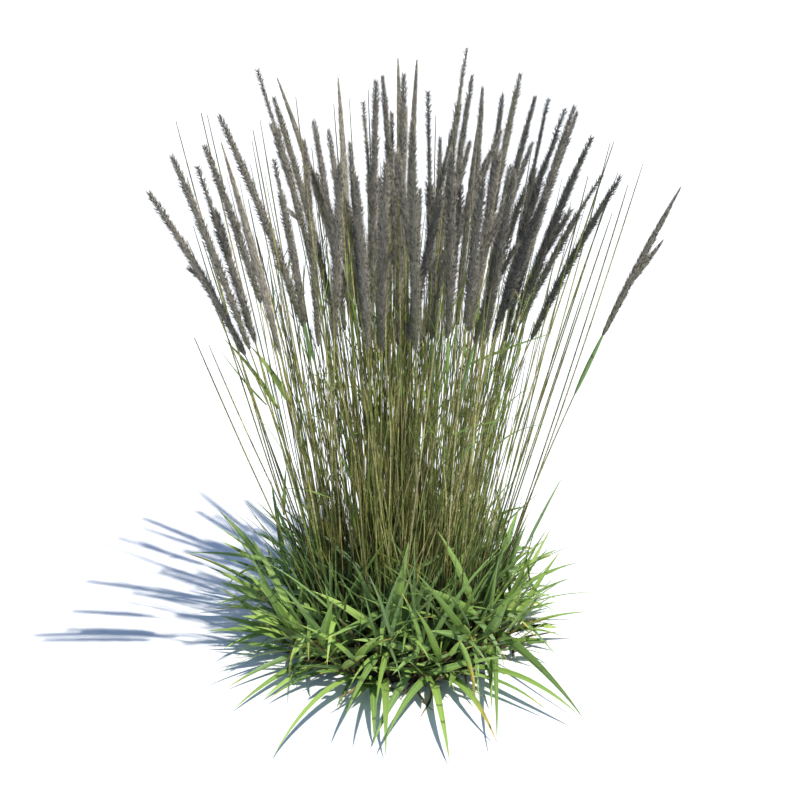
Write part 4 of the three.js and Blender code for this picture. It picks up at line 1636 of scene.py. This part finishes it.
class Coat(Enum):
    """How a head's hairs lie."""

    RUFFLED = "ruffled"
    FEATHERED = "feathered"
    SMOOTH = "smooth"


# The heads that aren't ruffled, by their places in the table of heads.
COATS = dict.fromkeys((2, 6, 8, 16, 26, 29, 42, 43, 48), Coat.FEATHERED)
COATS |= dict.fromkeys((5, 9, 12, 22, 25, 31, 50), Coat.SMOOTH)


@dataclass(frozen=True)
class Core:
    """The middle line of a head or of a branch, and how far the hairs on it reach."""

    place: Callable[[Array], Array]
    length: float
    radius: float
    rings: int


@dataclass
class Head:
    """One flower head: a soft core under fine hairs, with a few short branches."""

    stem: Stem
    order: int
    wardrobe: Wardrobe
    hairs_per_mm: float = 6.2
    hair_length: float = 12.0
    hair_radius: float = 0.42
    hairs_per_tuft: int = 8
    fewest_hairs: int = 30
    fullness: float = 1.06
    core_share: float = 0.52
    # Where the core sits on the ramp of painted shade that darkens the hairs' roots.
    shaded: float = 0.22
    core_rings: int = 36
    branch_rings: int = 14
    hairs_end: float = 0.985
    young_foot: float = 0.2
    youth: float = 0.8
    branches: int = 2
    branch_from: Span = (0.0, 0.5)
    branch_slope: Span = (20, 42)
    branch_length: Span = (16, 30)

    def __post_init__(self) -> None:
        """Draws what sets this head apart from the others."""
        self.chance = np.random.default_rng(Seed.HAIRS + self.order)
        self.radius = self.fullness * HEAD_RADIUS * self.stem.girth
        self.coat = COATS.get(self.order, Coat.RUFFLED)
        lightest = 0.95 if self.coat is Coat.SMOOTH else 0.55
        # Painted light: heads further left take lighter tones, and those further right darker ones.
        painted_light_tone = 0.46 - 0.38 * np.clip(self.stem.tip[0] / 220, -1, 1)
        self.tone = float(np.clip(self.chance.normal(painted_light_tone, 0.16), 0.02, lightest))
        if self.coat is Coat.SMOOTH:
            self.tone = min(0.95, self.tone + 0.3)
        self.young = float(np.clip(self.chance.normal(0.0, 0.12), 0, 0.35))
        self.feather_from = self.chance.uniform(0.62, 0.78)
        slim = 0.2 if self.stem.tip[0] > 300 or self.coat is Coat.SMOOTH else 0.0
        self.narrowing = self.chance.uniform(0.22, 0.56) + slim

    def width(self, along: Array) -> Array:
        """How wide the head is along its length.

        Args:
            along: Shares of its length.

        Returns:
            Shares of its greatest width.
        """
        foot = 0.5 + 0.5 * np.minimum(1, along / 0.26) ** 0.8
        end = np.sqrt(1 - 0.94 * np.clip((along - 0.82) / 0.18, 0, 1) ** 2)
        return foot * end * (1 - self.narrowing * np.clip((along - 0.52) / 0.48, 0, 1) ** 1.6)

    def dress(self, surface: Surface, core: Core) -> None:
        """Adds the core and the hairs of the head, or of a branch of it.

        Args:
            surface: The mesh.
            core: The middle line.
        """
        share = np.linspace(0, self.hairs_end, core.rings)
        lumps = 1 + 0.14 * np.sin(share * 90 + self.order)
        ending = 1 - 0.7 * np.clip((share - 0.85) / 0.15, 0, 1)
        slim = self.core_share * core.radius * self.width(share) * lumps * ending
        if self.coat is Coat.FEATHERED:
            slim = slim * np.where(share > self.feather_from, 0.5, 1)
        elif self.coat is Coat.SMOOTH:
            slim = slim * self.slimmer(share)
        speck = 0.35 + 0.35 * np.sin(np.arange(8) * 2.3 + share[:, None] * 60 + self.order)
        rings = tubes(core.place(share)[None], slim[None], 8)
        # The core takes its painted shade through its along mark.
        surface.loft(rings, along=self.shaded, across=self.young, tone=self.tone, age=speck)
        self._hairs(surface, core)

    @staticmethod
    def slimmer(along: Array) -> Array:
        """How much slimmer a smooth head grows towards its tip."""
        return 1 - 0.4 * np.clip((along - 0.6) / 0.4, 0, 1)

    def _hairs(self, surface: Surface, core: Core) -> None:
        """Adds hairs all along a core, which stand out and up from it in tufts.

        Args:
            surface: The mesh.
            core: The middle line.
        """
        chance, place, radius = self.chance, core.place, core.radius
        smooth = self.coat is Coat.SMOOTH
        count = max(self.fewest_hairs, round(self.hairs_per_mm * core.length))
        tuft = np.arange(count) // self.hairs_per_tuft
        tufts = tuft.max() + 1
        start = (tuft + chance.uniform(-0.5, 0.5, count) * (3 if smooth else 1)) / tufts
        start = np.clip(start * self.hairs_end, 0, self.hairs_end)
        if self.coat is Coat.FEATHERED:
            kept = (start < self.feather_from) | (np.arange(count) % 5 < 3)
            start, tuft = start[kept], tuft[kept]
            count = len(start)
        broad, close = np.sin(start * 31 + self.order), np.sin(start * 67 + 2 * self.order)
        lumps = 1 + 0.12 * broad + 0.09 * close
        envelope = radius * self.width(start) * (self.slimmer(start) if smooth else lumps)
        angle = TURN * GOLDEN * tuft + chance.normal(0, 1.2 if smooth else 0.4, count) + self.order
        roots = place(start)
        directions = unit(place(np.minimum(start + NEARBY, 1)) - place(start - NEARBY))
        first, second = across(directions)
        out = first * np.cos(angle)[:, None] + second * np.sin(angle)[:, None]
        plume = np.full(count, self.coat is Coat.FEATHERED) & (start > self.feather_from)
        shortening = np.where(plume, 0.8, 1 - 0.25 * start**2)
        size = self.hair_length * chance.uniform(0.6, 1.25, count) * shortening
        size = np.minimum(size, core.length * 0.45)
        inner = np.where(plume, 0.1, 0.45) * envelope
        stray = 1 if smooth else 1 + 0.45 * (chance.uniform(0, 1, count) > 0.78)
        outer = envelope * chance.uniform(0.75, 1.1 if smooth else 1.5, count) * stray
        outer = np.where(plume, radius * chance.uniform(0.5, 1.1, count), outer)
        splay = 0.0 if smooth else chance.uniform(0, 0.24, count) * (start > 0.88)
        slope = np.clip((outer - inner) / size, 0.06, 0.75) + splay
        roots = roots + out * inner[:, None]
        pointing = directions * np.sqrt(1 - slope**2)[:, None] + out * slope[:, None]
        tips = roots + pointing * size[:, None]
        young = self.young + self.youth * chance.uniform(0, 1, count) * (start < self.young_foot)
        shade = chance.normal(0, 0.04 if smooth else 0.14, tufts)[tuft]
        surface.bristles(
            roots,
            tips,
            self.hair_radius * chance.uniform(0.7, 1.3, count) * np.where(plume, 1.4, 1),
            across=np.clip(young, 0, 1),
            tone=np.clip(self.tone + shade + chance.normal(0, 0.08, count), 0, 1),
            age=chance.uniform(0, 1, count),
        )

    def _branch(self, surface: Surface, start: Array, end: Array, radius: float) -> None:
        """Adds a straight branch with its own hairs.

        Args:
            surface: The mesh.
            start: Where it leaves the head.
            end: Its tip.
            radius: How far its hairs reach.
        """

        def place(along: Array) -> Array:
            """Points along the branch."""
            return start + (end - start) * np.asarray(along)[..., None]

        length = float(np.linalg.norm(end - start))
        self.dress(surface, Core(place, length, radius, self.branch_rings))

    def branchlets(self, surface: Surface) -> None:
        """Adds the short branches that stand out low on the head.

        Args:
            surface: The mesh.
        """
        stem = self.stem
        for _ in range(self.chance.integers(0, self.branches)):
            along = stem.seat + (1 - stem.seat) * self.chance.uniform(*self.branch_from)
            start, direction = stem.at(along), stem.direction(along)
            turn = self.chance.uniform(0, TURN)
            slope = math.tan(math.radians(self.chance.uniform(*self.branch_slope)))
            length = self.chance.uniform(*self.branch_length)
            end = start + leaning(direction, turn, slope) * length
            self._branch(surface, start, end, self.radius * 0.5)

    def build(self) -> None:
        """Makes the head in place of its solid."""
        surface = Surface()
        stem = self.stem

        def place(along: Array) -> Array:
            """Points along the part of the stem that bears the head."""
            return stem.at(stem.seat + (1 - stem.seat) * np.asarray(along))

        self.dress(surface, Core(place, stem.head_length, self.radius, self.core_rings))
        for spike in stem.spikes:
            self._branch(surface, spike.foot, spike.tip, self.radius * 0.8)
        self.branchlets(surface)
        number = f"{self.order + 1:02d}"
        solids = (f"plume_{number}",) if self.order < len(HEADS) else ()
        self.wardrobe.place(surface, f"head_{number}", Finish.HEAD, *solids)


@dataclass
class RimSpray:
    """A spray of the rim: its rhizome's leafy shoots, and leaves that cross between them."""

    index: int
    growth: Growth
    wardrobe: Wardrobe
    crossing: tuple[int, ...] = (5, 13, 18, 20, 24, 26, 22, 8)
    stalks: Stalks = Stalks(3.4, 1.9, sides=8, pale=(0.4, 1.0), tones=(0.75, 1.0), joint=0.12)

    def crossing_leaves(self) -> list[Leaf]:
        """Leaves that cross the others, which the solids have no room for.

        Returns:
            The leaves.
        """
        leaves = []
        count = self.crossing[self.index]
        for place in range(count):
            draw = Draws(Seed.CROSSING_LEAF + self.index * 50 + place)
            turn = TURN * (self.index + (place + draw()) / count) / SPRAYS
            out = draw.between((95, 205))
            start = rotated((out, 0, draw.between((18, 125)) * (235 - out) / 110), turn)
            leaf = Leaf.drawn(CROSSING_LEAF, start, 0, draw)
            leaf.heading = turn + (leaf.heading if place % 2 else -leaf.heading)
            while np.hypot(*leaf.line(6)[0][:, :2].T).max() > SPRAY_REACH[self.index]:
                leaf.length *= Growth.SHORTENING
            leaves.append(leaf)
        return leaves

    def build(self) -> None:
        """Makes the spray in place of its solid."""
        number = self.index + 1
        shoots = self.stalks.made(self.growth.shoots[self.index])
        self.wardrobe.place(shoots, f"shoots_{number}", Finish.BASE)
        blades = Surface()
        own = self.growth.sprays[self.index]
        Blades(own, seed=20 + self.index, tone=(0.42, 1.0)).add_to(blades)
        crossing = self.crossing_leaves()
        Blades(crossing, seed=40 + self.index, tone=(0.16, 0.94)).add_to(blades)
        self.wardrobe.place(blades, f"spray_blades_{number}", Finish.LEAF, f"leaf_spray_{number}")


@dataclass
class EdgeLeaves:
    """The leaves that hang over the crown's edge, and those that stand out one by one in front."""

    wardrobe: Wardrobe
    drooping: int = 72

    def drooping_leaves(self) -> list[Leaf]:
        """Leaves that arch out and down over the crown's edge.

        Returns:
            The leaves.
        """
        leaves = []
        for i in range(self.drooping):
            draw = Draws(Seed.DROOPING_LEAF + i)
            turn = TURN * fraction(i * GOLDEN + 0.08)
            start = rotated((draw.between((130, 172)), 0, draw.between((36, 108))), turn)
            leaves.append(Leaf.drawn(DROOPING_LEAF, start, turn, draw))
        return leaves

    def build(self) -> None:
        """Makes the leaves."""
        blades = Surface()
        hanging = self.drooping_leaves()
        Blades(hanging, seed=52, tone=(0.15, 0.85), age=(0.0, 0.9), wilting=3.0).add_to(blades)
        fresh = [Leaf.spanning(row) for row in FRONT_LEAVES]
        Blades(fresh, seed=50, tone=(0.35, 0.9), age=(0.0, 0.5)).add_to(blades)
        old = [Leaf.spanning(row) for row in OLD_LEAVES]
        Blades(old, seed=51, tone=(0.6, 0.9), age=(0.68, 0.9)).add_to(blades)
        self.wardrobe.place(blades, "edge_blades", Finish.LEAF)


@dataclass
class UprightShoots:
    """Leafy shoots that stand among the feet of the culms and hide the crown."""

    growth: Growth
    wardrobe: Wardrobe
    shoots: int = 66
    leaves_per_shoot: int = 5
    tufts: int = 200
    reach: Span = (30.0, 149.0)
    shoot_length: Span = (60, 150)
    shoot_droop: float = math.radians(16)
    stalks: Stalks = Stalks(2.6, 1.5, sides=7, pale=(0.3, 1.0), tones=(0.6, 1.0))

    def layout(self) -> tuple[list[Leaf], list[Leaf]]:
        """Where the shoots grow.

        Returns:
            The shoots and their leaves.
        """
        shoots, leaves = [], []
        for i in range(self.shoots):
            draw = Draws(Seed.UPRIGHT_SHOOT + i)
            turn = TURN * fraction(i * GOLDEN + 0.77)
            out = within(self.reach, math.sqrt(draw()))
            foot = rotated((out, 0, 10), turn)
            lean = 6 + 34 * (out / self.reach[1]) ** 2 + draw.between((-6, 8))
            heading = turn + draw.angle((-30, 30))
            rise, length = math.radians(96 - lean), draw.between(self.shoot_length)
            shoots.append(Leaf(foot, heading, rise, self.shoot_droop, length, 0))
            points, _ = shoots[-1].line(FINE_STEPS)
            for order in range(self.leaves_per_shoot):
                node = min(FINE_STEPS, round((order + 1.2) / self.leaves_per_shoot * 22))
                leaf = Leaf.drawn(UPRIGHT_LEAF, points[node], heading, draw)
                leaves.append(self.kept_low(leaf, draw))
        return shoots, leaves

    @staticmethod
    def kept_low(leaf: Leaf, draw: Draws) -> Leaf:
        """A leaf, shortened until it is no higher than the leafy part of the plant.

        Args:
            leaf: The leaf, which is changed.
            draw: The stream that its own height is drawn with.

        Returns:
            The same leaf.
        """
        top = LEAFY_HEIGHT - 0.12 * leaf.start[1] - draw.between((0, 75))
        while leaf.length > 40 and leaf.line(6)[0][:, 2].max() > top:
            leaf.length *= 0.92
        return leaf

    def tuft_leaves(self) -> list[Leaf]:
        """Thin leaves that stand up between the feet of the culms.

        Returns:
            The leaves.
        """
        leaves = []
        for i in range(self.tufts):
            draw = Draws(Seed.TUFT_LEAF + i)
            turn = TURN * fraction(i * GOLDEN + 0.4)
            out = within(self.reach, draw() ** 0.45)
            leaf = Leaf.drawn(TUFT_LEAF, rotated((out, 0, FOOT_HEIGHT), turn), turn, draw)
            leaves.append(self.kept_low(leaf, draw))
        return leaves

    def build(self) -> None:
        """Makes the shoots, and all the leaves that stand among the culms."""
        shoots, leaves = self.layout()
        self.wardrobe.place(self.stalks.made(shoots), "upright_shoots", Finish.BASE)
        blades = Surface()
        Blades(leaves, seed=60, tone=(0.0, 0.6)).add_to(blades)
        Blades(self.tuft_leaves(), seed=62, steps=8, tone=(0.0, 0.75)).add_to(blades)
        Blades(self.growth.inner_leaves, seed=61, tone=(0.1, 0.9)).add_to(blades)
        self.wardrobe.place(blades, "upright_blades", Finish.LEAF)


@dataclass
class CulmLeaves:
    """The narrow leaves on the culms, and the sheaths that wrap some of them below the head."""

    growth: Growth
    wardrobe: Wardrobe
    threads: int = 26
    flags: int = 130
    scraps: int = 900
    sheaths: int = 16

    def small_leaves(self, kind: LeafKind, count: int, seed: int, heights: Span) -> list[Leaf]:
        """Small leaves that grow from the culms, away from the outermost ones.

        Args:
            kind: What they are drawn from.
            count: How many there are.
            seed: Where the draws start.
            heights: The heights that they start between.

        Returns:
            The leaves.
        """
        leaves = []
        for i in range(count):
            draw = Draws(seed + i)
            height = draw.between(heights)
            standing = [stem for stem in self.growth.stems if stem.at(stem.seat)[2] > height + 10]
            start = Growth.scattered(standing, i, 0.63).at_height(height)
            if np.hypot(start[0], start[1]) < 60 + 0.28 * height:
                leaves.append(Leaf.drawn(kind, start, bearing(start), draw))
        return leaves

    @staticmethod
    def add_sheath(surface: Surface, stem: Stem, length: float, width: float, tone: float) -> None:
        """Adds a folded leaf that hugs a culm up to its head.

        Args:
            surface: The mesh.
            stem: The culm.
            length: The sheath's length.
            width: Its greatest width.
            tone: Its place in the finish's range.
        """
        top = stem.seat + 0.012
        share = np.linspace(0, 1, 14)
        height = np.linalg.norm(stem.tip - stem.foot)
        line = stem.at(top - (1 - share) * length / height)[None]
        radii = 0.5 + width / 2 * np.sin(np.clip(share * 0.97, 0, 1) ** 0.8 * math.pi) ** 0.8
        rings = tubes(line, np.maximum(radii, 0.3)[None], 8)
        along = 0.15 + 0.5 * share[None, :, None]
        surface.loft(rings, along=along, across=0.4, tone=tone, age=0.1)

    def build(self) -> None:
        """Makes the leaves and the sheaths."""
        blades = Surface()
        Blades(self.growth.culm_leaves, seed=70, fold=0.5, tone=(0.3, 1.0)).add_to(blades)
        lone = [Leaf.spanning(row) for row in LONE_LEAVES]
        Blades(lone, seed=72, fold=0.4, tone=(0.45, 1.0), age=(0.0, 0.3)).add_to(blades)
        threads = self.small_leaves(THREAD_LEAF, self.threads, Seed.THREAD_LEAF, (250, 500))
        flags = self.small_leaves(FLAG_LEAF, self.flags, Seed.FLAG_LEAF, (240, 590))
        scraps = self.small_leaves(SCRAP_LEAF, self.scraps, Seed.SCRAP_LEAF, (160, 640))
        Blades([*threads, *flags], seed=71, fold=0.5, tone=(0.2, 1.0)).add_to(blades)
        Blades(scraps, seed=73, steps=4, fold=0.5, age=(0.0, 0.85), wilting=1.6).add_to(blades)
        self.wardrobe.place(blades, "culm_leaves", Finish.LEAF)
        sheaths = Surface()
        for i in range(self.sheaths):
            stem = Growth.scattered(self.growth.heads, i, 0.9)
            length, tone = 60 + 50 * fraction(i * GOLDEN), 0.3 + 0.4 * fraction(i * 0.7)
            self.add_sheath(sheaths, stem, length, width=4.2, tone=tone)
        self.add_sheath(sheaths, self.growth.heads[-1], length=118, width=6.4, tone=0.4)
        self.wardrobe.place(sheaths, "flag_sheaths", Finish.LEAF)


@dataclass
class Crown:
    """The crown: a dark knobbly mound, packed with tiller bases and strewn with dead leaves."""

    wardrobe: Wardrobe
    tillers: int = 230
    spread: float = 160.0
    litter: int = 110
    rings: tuple[Span, ...] = (
        (1.1, 0.3), (1.12, 7), (1.07, 13), (1.0, 17), (0.93, 25), (0.7, 32), (0.36, 36), (0.02, 37),
    )

    def mound(self) -> Surface:
        """The dark mound that everything grows from.

        Returns:
            Its mesh.
        """
        surface = Surface()
        sides = np.arange(48)
        angle = TURN * sides / len(sides)
        rows = []
        for level, (reach, height) in enumerate(self.rings):
            knob = 1.6 * np.sin(sides * 1.9 + level * 1.7) + 1.2 * np.sin(sides * 3.1 + level)
            radius = CROWN_RADIUS * reach + knob * min(1.0, reach * 1.4)
            lifted = np.full(len(sides), height) + (0.8 * knob if level else 0)
            rows.append(np.stack([np.cos(angle) * radius, np.sin(angle) * radius, lifted], axis=-1))
        # The mound sits at one fixed place on the base finish's painted shade.
        surface.loft(np.stack(rows)[None], along=0.3, tone=0.08)
        return surface

    def tiller_bases(self) -> Surface:
        """The sheathed bases of the tillers, packed over the mound.

        Returns:
            Their mesh.
        """
        surface = Surface()
        chance = np.random.default_rng(80)
        share = np.linspace(0, 1, 6)
        numbers = np.arange(self.tillers)
        out = self.spread * np.sqrt((numbers + 0.5) / self.tillers)
        angle = TURN * GOLDEN * numbers
        lean = 0.10 + 0.62 * (out / self.spread) ** 1.6 + chance.normal(0, 0.06, self.tillers)
        height = chance.uniform(34, 92, self.tillers) * (1.05 - 0.3 * out / self.spread)
        radial = np.stack([np.cos(angle), np.sin(angle), np.zeros(self.tillers)], axis=-1)
        foot = radial * out[:, None] + UP * 6
        rise = radial * np.sin(lean)[:, None] + UP * np.cos(lean)[:, None]
        lines = foot[:, None] + rise[:, None] * (height[:, None] * share)[..., None]
        width = chance.uniform(2.0, 3.9, (self.tillers, 1)) * (1 - 0.62 * share**1.5)
        tone = chance.uniform(0.1, 0.95, (self.tillers, 1, 1))
        # The along marks darken the bases towards their feet with painted shade.
        surface.loft(tubes(lines, width, 7), along=share[None, :, None], tone=tone)
        return surface

    def dead_leaves(self) -> Surface:
        """Short dry leaves that lie round the foot of the plant.

        Returns:
            Their mesh.
        """
        surface = Surface()
        leaves = []
        for i in range(self.litter):
            draw = Draws(Seed.DEAD_LEAF + i)
            turn = TURN * fraction(i * GOLDEN + 0.15)
            start = rotated((draw.between((120, 210)), 0, draw.between((3, 30))), turn)
            leaves.append(Leaf.drawn(DEAD_LEAF, start, turn, draw))
        Blades(leaves, seed=90, steps=8, fold=0.6, ripple=0.3).add_to(surface)
        tones = np.random.default_rng(91).uniform(0.25, 0.8, self.litter)
        surface.marks["tone"] = [np.repeat(tones, surface.count // self.litter)]
        return surface

    def build(self) -> None:
        """Makes the crown in place of its solid."""
        self.wardrobe.place(self.mound(), "crown_mound", Finish.BASE, "crown_and_culms")
        self.wardrobe.place(self.tiller_bases(), "tiller_bases", Finish.BASE)
        self.wardrobe.place(self.dead_leaves(), "dead_leaves", Finish.BASE)


@dataclass
class Studio:
    """The floor, the light and the camera."""

    floor_size: float = 60.0
    focal_length: float = 55.4
    sensor: float = 36.0
    pitch: float = 17.2
    sun_strength: float = 4.6
    sun_colour: Colour = (1.0, 0.965, 0.90)
    sun_softness: float = 1.0
    sky_colour: Colour = (0.38, 0.56, 0.95)
    sky_strength: float = 0.5
    sun_heading: tuple[float, float, float] = (-0.38, 0.37, -1.0)
    wall_share: float = 0.45
    wall_height: float = 12.0
    wall_glow: float = 1.1
    wall_sides: int = 64
    floor_shades: Span = (0.86, 0.90)
    view_end: float = 200.0

    def floor(self) -> None:
        """Makes the pale floor."""
        half = self.floor_size / 2
        mesh = bpy.data.meshes.new("floor")
        corners = [(-half, -half, 0), (half, -half, 0), (half, half, 0), (-half, half, 0)]
        mesh.from_pydata(corners, [], [(0, 1, 2, 3)])
        shader = Shader("floor", 0.9, 0.1)
        greys = [(shade, shade, shade) for shade in self.floor_shades]
        shader.colour(shader.ramp(shader.grain(0.8), (0.0, 1.0), greys))
        mesh.materials.append(shader.material)
        floor = added("floor", mesh)

    def wall(self) -> None:
        """Makes a plain white wall round the floor, which is seen but gives no light."""
        sides, radius = self.wall_sides, self.floor_size * self.wall_share
        angle = TURN * np.arange(sides) / sides
        ring = np.stack([np.cos(angle) * radius, np.sin(angle) * radius], axis=-1)
        points = [(x, y, z) for z in (-0.2, self.wall_height) for x, y in ring]
        faces = [(i, (i + 1) % sides, sides + (i + 1) % sides, sides + i) for i in range(sides)]
        mesh = bpy.data.meshes.new("wall")
        mesh.from_pydata(points, [], faces)
        shader = Shader("wall", 1.0, 0.0)
        shader.surface.inputs["Emission Color"].default_value = (1, 1, 1, 1)
        shader.surface.inputs["Emission Strength"].default_value = self.wall_glow
        mesh.materials.append(shader.material)
        wall = added("wall", mesh)
        wall.visible_diffuse = wall.visible_glossy = wall.visible_shadow = False

    def light(self) -> None:
        """Makes a soft key light from the right front, and a cool fill from all round."""
        key = bpy.data.lights.new("key", "SUN")
        key.energy = self.sun_strength
        key.color = self.sun_colour
        key.angle = math.radians(self.sun_softness)
        lamp = added("key", key)
        lamp.rotation_mode = "QUATERNION"
        lamp.rotation_quaternion = Vector(self.sun_heading).to_track_quat("-Z", "Y")
        world = bpy.data.worlds.new("fill")
        world.use_nodes = True
        sky = world.node_tree.nodes["Background"]
        sky.inputs["Color"].default_value = (*self.sky_colour, 1)
        sky.inputs["Strength"].default_value = self.sky_strength
        bpy.context.scene.world = world

    def camera(self) -> None:
        """Places the camera in front of the plant, looking down on it a little."""
        data = bpy.data.cameras.new("camera")
        data.lens = self.focal_length
        data.sensor_width = self.sensor
        data.clip_end = self.view_end
        camera = added("camera", data)
        camera.location = (0.0, -EYE_DISTANCE * MM, EYE_HEIGHT * MM)
        camera.rotation_euler = (math.radians(90 - self.pitch), 0.0, 0.0)
        bpy.context.scene.camera = camera

    def build(self) -> None:
        """Makes the studio."""
        bpy.context.scene.view_settings.view_transform = "Standard"
        self.floor()
        self.wall()
        self.light()
        self.camera()


def main() -> None:
    """Builds the plant and its studio, in order."""
    growth = Growth()
    wardrobe = Wardrobe()
    Studio().build()
    Crown(wardrobe).build()
    CulmStand(growth, wardrobe).build()
    CulmLeaves(growth, wardrobe).build()
    UprightShoots(growth, wardrobe).build()
    for index in range(SPRAYS):
        RimSpray(index, growth, wardrobe).build()
    EdgeLeaves(wardrobe).build()
    for order, stem in enumerate([*growth.heads, *growth.young]):
        Head(stem, order, wardrobe).build()


if __name__ == "__main__":
    main()
